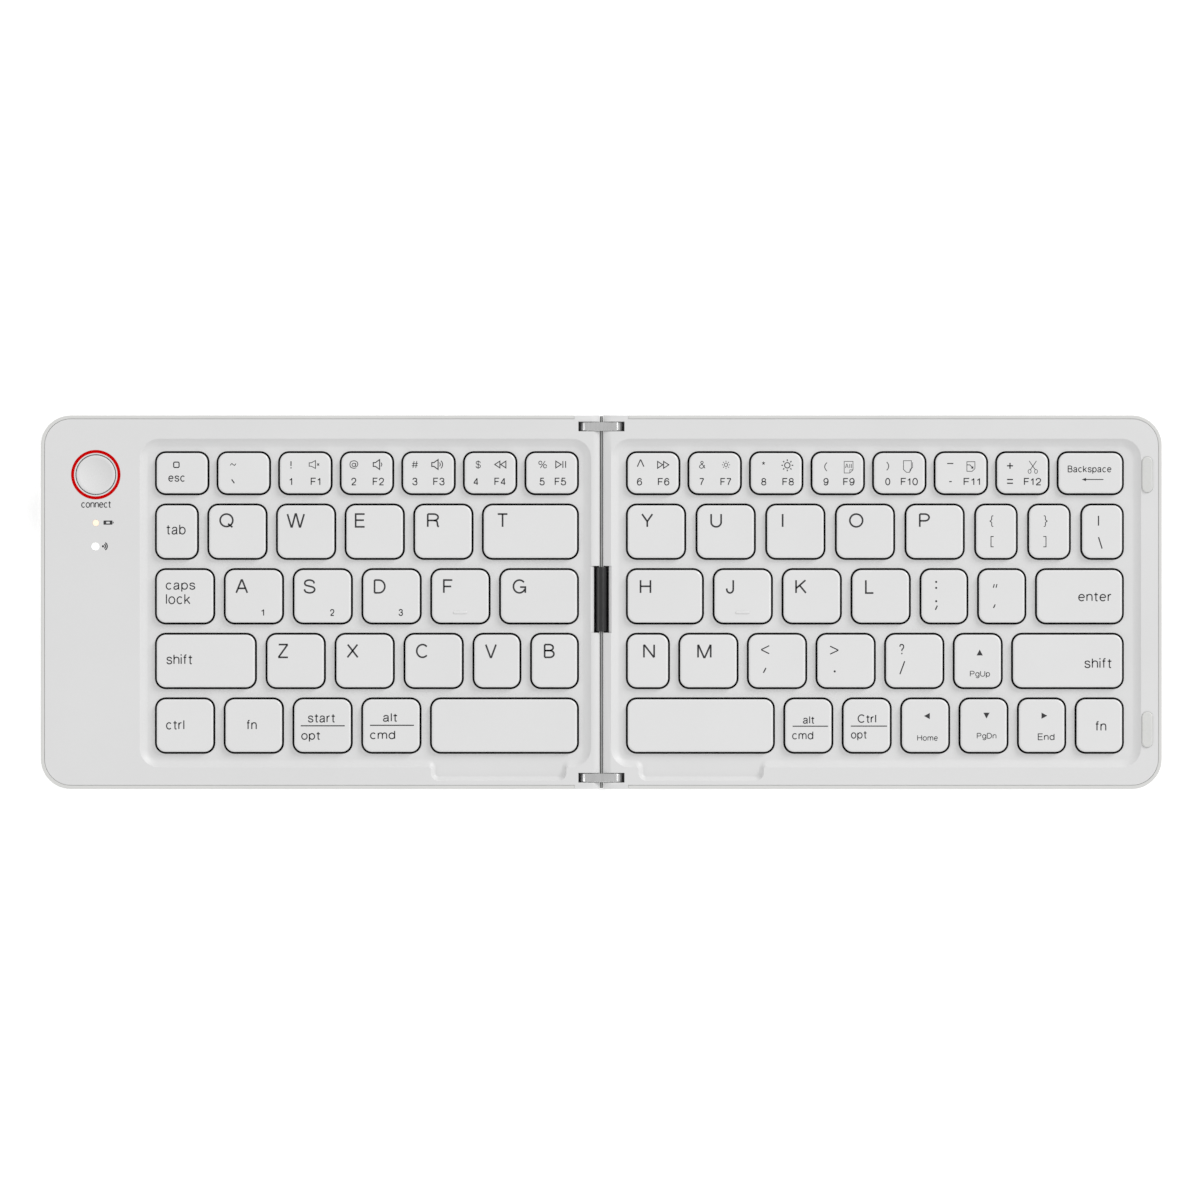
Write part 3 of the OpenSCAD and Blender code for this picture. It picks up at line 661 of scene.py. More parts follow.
    # painted shade: the depths of the link slots take a mid-grey and the faces beside the sleeve a near-black, standing
    # in for the shade that falls there
    for p in ob.data.polygons:
        x, y, z = (c / MM for c in p.center)
        in_slot = abs(x) < PIVOT_X + LINK_R + 0.65 and abs(abs(y) - LINK_Y) < LINK_W / 2 + 0.16 and z < 6.9
        at_sleeve = abs(x) < 2.0 and SLEEVE_Y[0] - 0.35 < y < SLEEVE_Y[1] + 0.35 and z < 6.3
        # painted shade: the faces beside the sleeve take the near-black
        if at_sleeve:
            p.material_index = 2
        elif in_slot:
            p.material_index = 3
    return ob


# ---------- Legends ----------

PX = 0.2676                     # millimetres for one of the 1200 pixels across the frame
CX, CY = 601.4, 602.1           # where the origin falls in the frame


def mm_x(px):
    return (px - CX) * PX


def mm_y(py):
    return (CY - py) * PX


LOW, HIGH = -0.05, 0.012        # a print sits this far into and out of its surface


def oval(cx, cy, rx, ry, a0=0.0, a1=360.0, n=20):
    return [(cx + rx * math.cos(math.radians(a0 + (a1 - a0) * k / n)), cy + ry * math.sin(math.radians(a0 + (a1 - a0) * k / n)))
            for k in range(n + 1)]


def curve(pts, n=6):
    """A smooth line through the points."""
    q = [pts[0]] + list(pts) + [pts[-1]]
    out = []
    for a, b, c, d in zip(q, q[1:], q[2:], q[3:]):
        for k in range(n):
            t = k / n
            out.append(tuple(0.5 * (2 * b[i] + (c[i] - a[i]) * t + (2 * a[i] - 5 * b[i] + 4 * c[i] - d[i]) * t * t
                                    + (3 * b[i] - a[i] - 3 * c[i] + d[i]) * t ** 3) for i in (0, 1)))
    return out + [pts[-1]]


def low_case(pts, h=0.73):
    return [(x, y * h) for x, y in pts]


def bowl(x0, x1, y0, y1, join):
    """The round side of letters such as P: from a stem at 0, out at y1 and back at y0."""
    m, r = (y0 + y1) / 2, (y1 - y0) / 2
    return [(0, y1), (join, y1)] + oval(join, m, x1 - join, r, 90, -90, 14)[1:] + [(0, y0)]


S_CURVE = [(0.94, 0.735), (0.86, 0.91), (0.5, 1.0), (0.15, 0.93), (0.04, 0.75), (0.15, 0.6), (0.5, 0.52), (0.86, 0.43),
           (1.0, 0.26), (0.85, 0.07), (0.5, 0.0), (0.13, 0.08), (0.0, 0.28)]
SIX = [(0.95, 0.77), (0.8, 0.95), (0.52, 1.0), (0.16, 0.86), (0.0, 0.47), (0.07, 0.17), (0.28, 0.02), (0.5, 0.0), (0.85, 0.09),
       (1.0, 0.32), (0.86, 0.56), (0.53, 0.64), (0.18, 0.55), (0.04, 0.36)]
ARCH = [(0.0, 0.62), (0.17, 0.9), (0.53, 1.0), (0.9, 0.9), (1.0, 0.62), (1.0, 0.3), (1.0, 0.0)]

# Each sign: its width for a capital one high, then its strokes; a stroke of one point is a dot
SIGN = {
    "A": (0.84, [[(0, 0), (0.5, 1), (1, 0)], [(0.17, 0.35), (0.83, 0.35)]]),
    "B": (0.70, [[(0, 0), (0, 1)], bowl(0, 0.92, 0.53, 1, 0.5), bowl(0, 1, 0, 0.53, 0.55)]),
    "C": (0.86, [oval(0.52, 0.5, 0.52, 0.5, 42, 318, 24)]),
    "D": (0.78, [[(0, 0), (0, 1)], bowl(0, 1, 0, 1, 0.42)]),
    "E": (0.66, [[(1, 1), (0, 1), (0, 0), (1, 0)], [(0, 0.52), (0.92, 0.52)]]),
    "F": (0.62, [[(1, 1), (0, 1), (0, 0)], [(0, 0.5), (0.87, 0.5)]]),
    "G": (0.90, [oval(0.5, 0.5, 0.5, 0.5, 40, 335, 26), [(0.56, 0.45), (1, 0.45), (1, 0)]]),
    "H": (0.78, [[(0, 0), (0, 1)], [(1, 0), (1, 1)], [(0, 0.52), (1, 0.52)]]),
    "I": (0.0, [[(0.5, 0), (0.5, 1)]]),
    "J": (0.56, [[(1, 1)] + oval(0.5, 0.29, 0.5, 0.29, 0, -180, 14) + [(0, 0.35)]]),
    "K": (0.78, [[(0, 0), (0, 1)], [(0.95, 1), (0, 0.35)], [(0.35, 0.6), (1, 0)]]),
    "L": (0.62, [[(0, 1), (0, 0), (1, 0)]]),
    "M": (0.98, [[(0, 0), (0, 1)], [(1, 0), (1, 1)], [(0.02, 1), (0.5, 0), (0.98, 1)]]),
    "N": (0.80, [[(0, 0), (0, 1)], [(1, 0), (1, 1)], [(0.02, 1), (0.98, 0)]]),
    "O": (0.98, [oval(0.5, 0.5, 0.5, 0.5, 0, 350, 35)]),
    "P": (0.72, [[(0, 0), (0, 1)], bowl(0, 1, 0.47, 1, 0.55)]),
    "Q": (0.98, [oval(0.5, 0.51, 0.5, 0.49, 0, 350, 35), [(0.62, 0.24), (0.97, -0.03)]]),
    "R": (0.80, [[(0, 0), (0, 1)], bowl(0, 0.94, 0.5, 1, 0.55), curve([(0.55, 0.5), (0.8, 0.44), (0.87, 0.26), (0.9, 0.08), (1.0, 0.0)])]),
    "S": (0.80, [curve(S_CURVE)]),
    "T": (0.76, [[(0, 1), (1, 1)], [(0.5, 1), (0.5, 0)]]),
    "U": (0.78, [[(0, 1)] + oval(0.5, 0.36, 0.5, 0.36, 180, 360, 18) + [(1, 1)]]),
    "V": (0.84, [[(0, 1), (0.5, 0), (1, 1)]]),
    "W": (1.28, [[(0, 1), (0.25, 0), (0.5, 1), (0.75, 0), (1, 1)]]),
    "X": (0.84, [[(0.03, 1), (1, 0)], [(0.97, 1), (0, 0)]]),
    "Y": (0.84, [[(0, 1), (0.5, 0.42)], [(1, 1), (0.5, 0.42)], [(0.5, 0.46), (0.5, 0)]]),
    "Z": (0.78, [[(0.06, 1), (1, 1)], [(0.96, 0.99), (0.04, 0.01)], [(0, 0), (1, 0)]]),
    "0": (0.62, [oval(0.5, 0.5, 0.5, 0.5, 0, 350, 35)]),
    "1": (0.42, [[(0.66, 0), (0.66, 1)], curve([(0, 0.74), (0.33, 0.79), (0.56, 0.9), (0.66, 1)])]),
    "2": (0.62, [curve([(0.03, 0.68), (0.12, 0.9), (0.5, 1), (0.88, 0.9), (0.97, 0.71), (0.82, 0.47), (0.4, 0.26), (0.06, 0.06)]), [(0, 0), (1, 0)]]),
    "3": (0.62, [curve([(0.04, 0.76), (0.16, 0.94), (0.5, 1), (0.86, 0.91), (0.92, 0.75), (0.8, 0.58), (0.42, 0.54)]),
                 curve([(0.42, 0.54), (0.84, 0.48), (1, 0.27), (0.85, 0.06), (0.5, 0), (0.12, 0.08), (0, 0.28)])]),
    "4": (0.64, [[(0.76, 0), (0.76, 1)], [(0.74, 0.98), (0.02, 0.27)], [(0, 0.26), (1, 0.26)]]),
    "5": (0.62, [[(0.93, 1), (0.2, 1), (0.08, 0.47)], curve([(0.08, 0.47), (0.28, 0.6), (0.55, 0.64), (0.9, 0.52), (1, 0.31), (0.85, 0.06), (0.45, 0), (0.1, 0.08), (0, 0.26)])]),
    "6": (0.62, [curve(SIX)]),
    "7": (0.60, [[(0, 1), (1, 1)], curve([(0.98, 0.97), (0.6, 0.52), (0.42, 0.22), (0.36, 0)])]),
    "8": (0.62, [oval(0.5, 0.765, 0.43, 0.235, 0, 350, 25), oval(0.5, 0.265, 0.5, 0.265, 0, 350, 25)]),
    "9": (0.62, [curve([(1 - x, 1 - y) for x, y in SIX])]),
    "a": (0.60, [curve(low_case([(0.06, 0.73), (0.2, 0.94), (0.48, 1.0), (0.8, 0.92), (0.86, 0.72), (0.86, 0.4), (0.86, 0.15), (0.92, 0.02), (1.0, 0.02)])),
                 curve(low_case([(0.86, 0.58), (0.55, 0.53), (0.16, 0.44), (0.0, 0.23), (0.12, 0.04), (0.38, 0.0), (0.7, 0.1), (0.86, 0.34)]))]),
    "b": (0.62, [[(0, 0), (0, 1)], oval(0.5, 0.365, 0.5, 0.365, 0, 350, 25)]),
    "c": (0.58, [oval(0.52, 0.365, 0.52, 0.365, 45, 315, 20)]),
    "d": (0.62, [[(1, 0), (1, 1)], oval(0.5, 0.365, 0.5, 0.365, 0, 350, 25)]),
    "e": (0.62, [oval(0.5, 0.365, 0.5, 0.365, 5, 318, 24), [(0.02, 0.385), (0.98, 0.385)]]),
    "f": (0.34, [curve([(0.42, 0), (0.42, 0.4), (0.42, 0.78), (0.55, 0.96), (1, 1)]), [(0, 0.72), (0.95, 0.72)]]),
    "g": (0.62, [oval(0.5, 0.365, 0.5, 0.365, 0, 350, 25), curve([(1, 0.73), (1, 0.3), (1, -0.06), (0.85, -0.24), (0.48, -0.29), (0.08, -0.2)])]),
    "h": (0.56, [[(0, 0), (0, 1)], curve(low_case(ARCH))]),
    "i": (0.0, [[(0.5, 0), (0.5, 0.73)], [(0.5, 0.98)]]),
    "k": (0.56, [[(0, 0), (0, 1)], [(0.93, 0.73), (0, 0.24)], [(0.36, 0.43), (1, 0)]]),
    "l": (0.0, [[(0.5, 0), (0.5, 1)]]),
    "m": (0.94, [[(0, 0), (0, 0.73)], curve(low_case([(x * 0.5, y) for x, y in ARCH])), curve(low_case([(0.5 + x * 0.5, y) for x, y in ARCH]))]),
    "n": (0.56, [[(0, 0), (0, 0.73)], curve(low_case(ARCH))]),
    "o": (0.64, [oval(0.5, 0.365, 0.5, 0.365, 0, 350, 30)]),
    "p": (0.62, [[(0, -0.28), (0, 0.73)], oval(0.5, 0.365, 0.5, 0.365, 0, 350, 25)]),
    "r": (0.32, [[(0, 0), (0, 0.73)], curve(low_case([(0.0, 0.6), (0.25, 0.88), (0.6, 0.98), (1.0, 1.0)]))]),
    "s": (0.54, [curve(low_case(S_CURVE))]),
    "t": (0.34, [curve([(0.45, 0.93), (0.45, 0.5), (0.45, 0.14), (0.58, 0.02), (1, 0.01)]), [(-0.1, 0.71), (1.1, 0.71)]]),
    "!": (0.0, [[(0.5, 1), (0.5, 0.28)], [(0.5, 0.0)]]),
    "@": (1.0, [oval(0.5, 0.45, 0.24, 0.22, 0, 340, 18), curve([(0.74, 0.66), (0.72, 0.3), (0.86, 0.24), (1.0, 0.5), (0.88, 0.86), (0.5, 1.0), (0.1, 0.84), (0.0, 0.48), (0.12, 0.12), (0.5, 0.0), (0.8, 0.06)])]),
    "#": (0.8, [[(0.36, 1), (0.18, 0)], [(0.82, 1), (0.64, 0)], [(0.06, 0.66), (1, 0.66)], [(0, 0.34), (0.94, 0.34)]]),
    "$": (0.66, [curve([(x, 0.08 + y * 0.84) for x, y in S_CURVE]), [(0.5, 1), (0.5, 0)]]),
    "%": (1.0, [oval(0.2, 0.75, 0.2, 0.25, 0, 340, 14), oval(0.8, 0.25, 0.2, 0.25, 0, 340, 14), [(0.8, 1), (0.2, 0)]]),
    "^": (0.8, [[(0, 0), (0.5, 1), (1, 0)]]),
    "&": (0.8, [curve([(1.0, 0.0), (0.6, 0.45), (0.24, 0.78), (0.36, 0.97), (0.58, 0.97), (0.66, 0.78), (0.4, 0.56), (0.06, 0.36), (0.04, 0.12), (0.28, 0.0), (0.6, 0.06), (0.84, 0.28), (0.92, 0.46)])]),
    "*": (0.5, [[(0.5, 0.5), (0.5, 1)], [(0.5, 0.5), (0.0, 0.66)], [(0.5, 0.5), (1.0, 0.66)], [(0.5, 0.5), (0.2, 0.0)], [(0.5, 0.5), (0.8, 0.0)]]),
    "(": (0.3, [curve([(1, 1), (0.3, 0.78), (0, 0.5), (0.3, 0.22), (1, 0)])]),
    ")": (0.3, [curve([(0, 1), (0.7, 0.78), (1, 0.5), (0.7, 0.22), (0, 0)])]),
    "+": (0.8, [[(0.5, 1), (0.5, 0)], [(0, 0.5), (1, 0.5)]]),
    "=": (0.8, [[(0, 1), (1, 1)], [(0, 0), (1, 0)]]),
    "~": (0.8, [curve([(0, 0.1), (0.25, 0.9), (0.5, 0.5), (0.75, 0.1), (1, 0.9)])]),
    "?": (0.56, [curve([(0, 0.76), (0.12, 0.94), (0.5, 1), (0.9, 0.92), (1, 0.74), (0.86, 0.57), (0.58, 0.44), (0.52, 0.27)]), [(0.52, 0.0)]]),
    "{": (0.4, [curve([(1, 1), (0.6, 0.96), (0.5, 0.8), (0.48, 0.62), (0.0, 0.5), (0.48, 0.38), (0.5, 0.2), (0.6, 0.04), (1, 0)])]),
    "}": (0.4, [curve([(0, 1), (0.4, 0.96), (0.5, 0.8), (0.52, 0.62), (1.0, 0.5), (0.52, 0.38), (0.5, 0.2), (0.4, 0.04), (0, 0)])]),
    "[": (0.3, [[(1, 1), (0, 1), (0, 0), (1, 0)]]),
    "]": (0.3, [[(0, 1), (1, 1), (1, 0), (0, 0)]]),
}


def word(text, xl, xr, base, cap, top=CAP_TOP, w=0.26, space=0.27):
    """Text drawn in even strokes between two columns, on a baseline, with capitals that high; all in frame pixels."""
    x0, x1, y0, h = mm_x(xl) + w / 2, mm_x(xr) - w / 2, mm_y(base) + w / 2, cap * PX - w
    starts, x = [], 0.0
    for ch in text:
        starts.append(x)
        x += SIGN[ch][0] + space
    total = x - space
    k = (x1 - x0) / total if total > 0.01 else 0.0
    s = Shape()
    for ch, start in zip(text, starts):
        width, strokes = SIGN[ch]
        for pts in strokes:
            line = [(x0 + (start + px * width) * k if k else (x0 + x1) / 2, y0 + py * h) for px, py in pts]
            if len(line) == 1:
                cx, cy = line[0]
                s.join(patch([(cx - w * 0.55, cy - w * 0.55), (cx + w * 0.55, cy - w * 0.55), (cx + w * 0.55, cy + w * 0.55), (cx - w * 0.55, cy + w * 0.55)], top))
                continue
            ring = len(line) > 20 and len(pts) > 20 and abs(pts[0][0] - pts[-1][0]) < 0.12 and abs(pts[0][1] - pts[-1][1]) < 0.12 and ch not in "aS6983s@&"
            s.join(stroke(line, w, ring, top))
    return s


def stroke(pts, w, closed=False, top=CAP_TOP):
    """A line of width w through points in millimetres, as a thin solid with mitred corners."""
    pts = [Vector(p) for p in pts]
    if not closed:                                # a sharp turn gets a short flat
        out = [pts[0]]
        for a, p, b in zip(pts, pts[1:], pts[2:]):
            d, e = (p - a).normalized(), (b - p).normalized()
            if 1 + d.dot(e) < 0.75:
                t = (d + e).normalized() * w * 0.24
                out += [p - t, p + t]
            else:
                out.append(p)
        pts = out + [pts[-1]]
    n = len(pts)
    left, right = [], []
    for k, p in enumerate(pts):
        if closed:
            a, b = (p - pts[k - 1]).normalized(), (pts[(k + 1) % n] - p).normalized()
        else:
            a = (p - pts[k - 1]).normalized() if k else (pts[1] - p).normalized()
            b = (pts[k + 1] - p).normalized() if k < n - 1 else a
        na, nb = Vector((-a.y, a.x)), Vector((-b.y, b.x))
        m = na + nb
        m = m / max(m.length_squared / 2, 0.3)
        left.append(p + m * (w / 2))
        right.append(p - m * (w / 2))
    s = Shape()
    if closed:
        rings = []
        for path, z in ((right, LOW), (left, LOW), (left, HIGH), (right, HIGH)):
            rings.append(s.add([(p.x, p.y, top + z) for p in path]))
        for a, b in zip(rings, rings[1:] + rings[:1]):
            for i in range(n):
                s.face([a[i], a[(i + 1) % n], b[(i + 1) % n], b[i]])
        return s
    ring = [(p.x, p.y) for p in right + left[::-1]]
    low, high = s.add([(x, y, top + LOW) for x, y in ring]), s.add([(x, y, top + HIGH) for x, y in ring])
    k = len(ring)
    for i in range(n - 1):
        for ids in (low, high):
            s.face([ids[i], ids[i + 1], ids[k - 2 - i], ids[k - 1 - i]])
    for i in range(k):
        j = (i + 1) % k
        s.face([low[i], low[j], high[j], high[i]])
    return s


def patch(pts, top=CAP_TOP):
    """A filled outline in millimetres, as a thin solid."""
    return Shape().loft([[(x, y, top + z) for x, y in pts] for z in (LOW, HIGH)])


def window(outer, inner, top=CAP_TOP):
    """A frame between two outlines of as many points each, as a thin solid."""
    s = Shape()
    rings = [s.add([(x, y, top + z) for x, y in path]) for path, z in ((outer, LOW), (inner, LOW), (inner, HIGH), (outer, HIGH))]
    for a, b in zip(rings, rings[1:] + rings[:1]):
        n = len(a)
        for i in range(n):
            s.face([a[i], a[(i + 1) % n], b[(i + 1) % n], b[i]])
    return s


def px_pts(cx, cy, pts):
    """Points given in pixels from a centre, y upwards."""
    return [(mm_x(cx + x), mm_y(cy - y)) for x, y in pts]


def arc(cx, cy, r, a0, a1, n=16):
    return [(cx + r * math.cos(math.radians(a0 + (a1 - a0) * k / n)), cy + r * math.sin(math.radians(a0 + (a1 - a0) * k / n)))
            for k in range(n + 1)]


def icon(kind, cx, cy):
    """A small generic sign, its centre in frame pixels."""
    w = 0.25
    s = Shape()
    def line(pts, closed=False, width=w):
        s.join(stroke(px_pts(cx, cy, pts), width, closed))
    def fill(pts):
        s.join(patch(px_pts(cx, cy, pts)))
    if kind in ("mute", "quieter", "louder"):
        x, h, k, t = {"mute": (-1.5, 4.0, 1.7, 0.2), "quieter": (-1.6, 4.9, 1.9, 0.27), "louder": (-2.4, 4.9, 1.9, 0.27)}[kind]
        line([(x - 3.3, -k), (x - 1.2, -k), (x + 3.0, -h), (x + 3.0, h), (x - 1.2, k), (x - 3.3, k)], True, t)
        if kind == "mute":
            line([(x + 4.7, -1.1), (x + 6.6, 1.1)], width=0.22)
            line([(x + 4.7, 1.1), (x + 6.6, -1.1)], width=0.22)
        else:
            line(arc(x + 2.6, 0, 2.6, -48, 48, 8), width=0.22)
        if kind == "louder":
            line(arc(x + 2.6, 0, 4.9, -50, 50, 10), width=0.24)
    elif kind in ("next", "previous"):
        k = 1 if kind == "next" else -1
        for x in (-5.6 * k, 0.4 * k):
            tri = [(x, -3.4), (x + 5.2 * k, 0.0), (x, 3.4)]
            line(tri if k > 0 else tri[::-1], True)
    elif kind == "play":
        line([(-5.2, -3.4), (0.2, 0.0), (-5.2, 3.4)], True)
        line([(1.9, -3.4), (1.9, 3.4)], width=0.25)
        line([(4.6, -3.4), (4.6, 3.4)], width=0.25)
    elif kind in ("dim", "bright"):
        r, a, b = (1.7, 2.9, 4.0) if kind == "dim" else (2.7, 4.3, 5.9)
        line(arc(0, 0, r, 0, 345, 23), True, 0.17 if kind == "dim" else 0.25)
        for k in range(8):
            t = math.radians(45 * k)
            line([(a * math.cos(t), a * math.sin(t)), (b * math.cos(t), b * math.sin(t))], width=0.2 if kind == "dim" else 0.3)
    elif kind == "page":
        line([(-4.4, -5.8), (1.2, -5.8), (4.4, -2.6), (4.4, 5.8), (-4.4, 5.8)], True, 0.15)
        line([(1.2, -5.6), (1.2, -2.6), (4.3, -2.6)], width=0.13)
        line([(-3.3, -0.8), (-1.8, 3.2), (-0.3, -0.8)], width=0.15)
        line([(-2.6, 0.4), (-1.0, 0.4)], width=0.1)
        line([(1.2, -0.8), (1.2, 3.2)], width=0.17)
        line([(2.9, -0.8), (2.9, 3.2)], width=0.17)
    elif kind == "copy":
        line([(-4.5, 5.8), (-4.5, -3.0), (-1.6, -5.8), (1.6, -5.8), (3.4, -2.2), (3.4, 5.8)], True, 0.16)
        line([(1.6, -5.6), (2.2, -2.6), (4.6, -1.0), (4.6, 4.2)], width=0.14)
    elif kind == "paste":
        line([(-4.0, -4.8), (1.2, -4.8), (4.0, -2.2), (4.0, 4.8), (-4.0, 4.8)], True, 0.17)
        line([(-4.0, 1.6), (-1.0, 1.6), (1.6, -1.2)], width=0.2)
        fill([(2.6, -2.2), (2.2, 0.6), (-0.2, -1.8)])
    elif kind == "scissors":
        line([(-3.6, 6.0), (2.4, -2.6)], width=0.18)
        line([(3.6, 6.0), (-2.4, -2.6)], width=0.18)
        line([(-3.2 + 1.5 * math.cos(k * math.pi / 6), -4.4 + 2.0 * math.sin(k * math.pi / 6)) for k in range(12)], True, 0.15)
        line([(3.2 + 1.5 * math.cos(k * math.pi / 6), -4.4 + 2.0 * math.sin(k * math.pi / 6)) for k in range(12)], True, 0.15)
    elif kind == "square":
        line([(x, y) for x, y in rect_path(-2.7, -2.7, 2.7, 2.7, 1.2, 0.0, 4)], True, 0.3)
    elif kind == "left_arrow":
        line([(-7.5, 0.0), (10.8, 0.0)], width=0.24)
        fill([(-10.8, 0.0), (-6.6, -1.7), (-6.6, 1.7)])
    elif kind == "up":
        fill([(-3.1, -2.9), (3.1, -2.9), (0.0, 2.9)])
    elif kind == "down":
        fill([(-3.1, 2.9), (0.0, -2.9), (3.1, 2.9)])
    elif kind == "left":
        fill([(2.9, -3.1), (2.9, 3.1), (-2.9, 0.0)])
    elif kind == "right":
        fill([(-2.9, -3.1), (2.9, 0.0), (-2.9, 3.1)])
    return s


# text, left and right column, baseline, height of a capital; in pixels of the 1200 frame
LETTERS = [
    ("Q", 219.3, 233.7, 527.7), ("W", 286.6, 305.0, 527.7), ("E", 354.8, 365.5, 527.7), ("R", 426.9, 439.7, 527.7), ("T", 496.9, 508.3, 527.7),
    ("A", 235.4, 248.2, 593.7), ("S", 303.5, 315.6, 593.7), ("D", 373.7, 385.7, 593.7), ("F", 443.0, 453.2, 593.7), ("G", 512.6, 526.2, 593.7),
    ("Z", 277.3, 288.8, 658.2), ("X", 346.6, 358.6, 658.2), ("C", 415.9, 428.7, 658.2), ("V", 484.9, 496.9, 658.2), ("B", 543.8, 554.8, 658.2),
    ("Y", 641.2, 653.3, 527.7), ("U", 710.3, 722.0, 527.7), ("I", 781.7, 783.6, 527.7), ("O", 849.0, 863.5, 527.7), ("P", 918.9, 930.0, 527.7),
    ("H", 639.7, 651.3, 593.8), ("J", 725.9, 734.1, 593.8), ("K", 795.2, 806.8, 593.8), ("L", 865.0, 874.3, 593.9),
    ("N", 643.1, 655.0, 658.3), ("M", 697.2, 711.6, 658.3),
]
WORDS = [
    ("esc", 168.3, 185.3, 481.8, 8.3), ("tab", 166.3, 185.7, 534.6, 10.4),
    ("caps", 165.7, 195.3, 589.8, 9.6), ("lock", 165.9, 190.5, 604.3, 10.6),
    ("shift", 166.4, 192.4, 664.4, 10.2), ("ctrl", 166.0, 184.4, 729.6, 9.8), ("fn", 246.4, 256.8, 729.6, 9.8),
    ("start", 307.9, 335.2, 722.6, 9.4), ("opt", 301.2, 320.3, 739.9, 9.0),
    ("alt", 382.9, 397.4, 721.8, 9.0), ("cmd", 370.0, 395.2, 739.3, 9.0),
    ("1", 261.0, 265.2, 616.0, 7.0), ("2", 330.0, 334.4, 616.0, 7.0), ("3", 398.6, 403.0, 616.0, 7.0),
    ("1", 289.2, 293.2, 485.4, 7.7), ("2", 351.2, 356.4, 485.4, 7.7), ("3", 412.3, 417.5, 485.4, 7.7),
    ("4", 473.2, 478.6, 485.4, 7.7), ("5", 539.5, 544.7, 485.4, 7.7),
    ("F1", 310.7, 321.4, 485.4, 7.7), ("F2", 372.7, 384.1, 485.4, 7.7), ("F3", 433.2, 444.6, 485.4, 7.7),
    ("F4", 494.4, 505.8, 485.4, 7.7), ("F5", 554.7, 566.1, 485.4, 7.7),
    ("!", 290.3, 291.7, 468.4, 7.7), ("@", 349.6, 358.2, 468.6, 8.2), ("#", 411.5, 418.3, 468.4, 7.7),
    ("$", 475.6, 480.8, 469.0, 8.8), ("%", 538.4, 547.0, 468.4, 7.7), ("~", 229.9, 236.3, 466.0, 3.0),
    ("^", 636.8, 644.4, 467.2, 7.8), ("&", 699.1, 705.4, 468.6, 7.7), ("*", 761.6, 765.4, 465.0, 3.8),
    ("(", 824.3, 827.4, 471.4, 9.2), (")", 886.3, 889.1, 470.7, 9.1), ("+", 1006.4, 1013.6, 469.4, 7.2),
    ("6", 636.9, 642.1, 485.5, 7.5), ("7", 699.2, 704.2, 485.5, 7.5), ("8", 761.2, 766.4, 485.5, 7.5),
    ("9", 823.4, 828.6, 485.5, 7.5), ("0", 885.2, 890.3, 485.4, 7.5), ("=", 1006.4, 1013.6, 483.9, 5.0),
    ("F6", 657.9, 669.4, 485.5, 7.5), ("F7", 720.4, 731.4, 485.5, 7.5), ("F8", 782.4, 794.0, 485.5, 7.5),
    ("F9", 843.2, 854.6, 485.5, 7.5), ("F10", 900.8, 917.9, 485.4, 7.5), ("F11", 963.6, 981.2, 485.4, 7.5),
    ("F12", 1023.9, 1041.2, 485.4, 7.5),
    ("Backspace", 1067.7, 1111.5, 472.4, 6.9), ("enter", 1078.2, 1111.7, 601.4, 9.9), ("shift", 1084.4, 1111.7, 668.2, 10.2),
    ("{", 989.6, 993.7, 526.9, 11.6), ("[", 990.6, 994.1, 547.2, 11.1), ("}", 1043.4, 1047.6, 526.9, 11.6), ("]", 1042.9, 1046.4, 547.2, 11.1),
    ("?", 899.3, 904.2, 654.1, 10.2), ("PgUp", 969.9, 990.0, 676.7, 5.9), ("Home", 917.2, 937.9, 740.8, 5.9),
    ("PgDn", 976.8, 996.4, 738.7, 5.8), ("End", 1037.8, 1054.5, 740.2, 6.8), ("fn", 1095.2, 1106.3, 731.0, 10.0),
    ("alt", 802.9, 814.5, 723.8, 7.9), ("cmd", 792.1, 813.3, 739.5, 8.4), ("Ctrl", 857.6, 876.2, 722.9, 8.6), ("opt", 850.9, 866.9, 738.7, 8.4),
]
SIGNS = [
    ("square", 176.4, 464.8), ("mute", 314.0, 464.5), ("quieter", 378.2, 464.5), ("louder", 437.5, 464.5),
    ("previous", 500.3, 464.5), ("play", 561.0, 464.5), ("next", 663.2, 464.8), ("dim", 726.0, 464.8),
    ("bright", 787.3, 465.3), ("page", 848.6, 467.2), ("copy", 908.0, 466.5), ("paste", 970.9, 466.5),
    ("scissors", 1032.8, 467.0), ("left_arrow", 1092.6, 479.5),
    ("up", 979.7, 652.5), ("left", 926.9, 716.0), ("down", 986.5, 715.6), ("right", 1044.4, 715.7),
]
# strokes: left, top, right, bottom ends in pixels, and width in millimetres
LINES = [
    (231.6, 479.4, 234.4, 483.2, 0.3), (947.1, 463.5, 953.3, 463.5, 0.28), (949.2, 481.6, 951.8, 481.6, 0.28),
    (1098.5, 515.8, 1098.5, 525.6, 0.32), (1098.5, 537.1, 1102.1, 548.6, 0.32),
    (937.3, 605.6, 935.4, 609.9, 0.34), (994.3, 584.1, 993.3, 587.7, 0.28), (997.0, 584.1, 996.0, 587.7, 0.28),
    (995.2, 604.4, 993.5, 608.0, 0.32), (766.0, 667.9, 763.4, 672.8, 0.34), (904.7, 661.2, 899.9, 674.2, 0.32),
    (300.7, 725.8, 344.8, 725.8, 0.3), (370.0, 725.3, 414.0, 725.3, 0.3),
    (792.6, 726.2, 828.1, 726.2, 0.28), (850.8, 726.1, 887.1, 726.1, 0.28),
]
CHEVRONS = [((769.2, 645.7), (761.6, 649.7), (769.2, 653.7)), ((830.1, 646.2), (837.9, 650.2), (830.1, 654.1))]
DOTS = [(936.2, 581.9), (936.2, 587.9), (936.2, 601.2), (834.7, 671.4)]

prints = []                      # (x, y) of the middle in millimetres, and the shape


def put(shape):
    xs, ys = [v[0] for v in shape.v], [v[1] for v in shape.v]
    prints.append(((min(xs) + max(xs)) / 2, (min(ys) + max(ys)) / 2, shape))


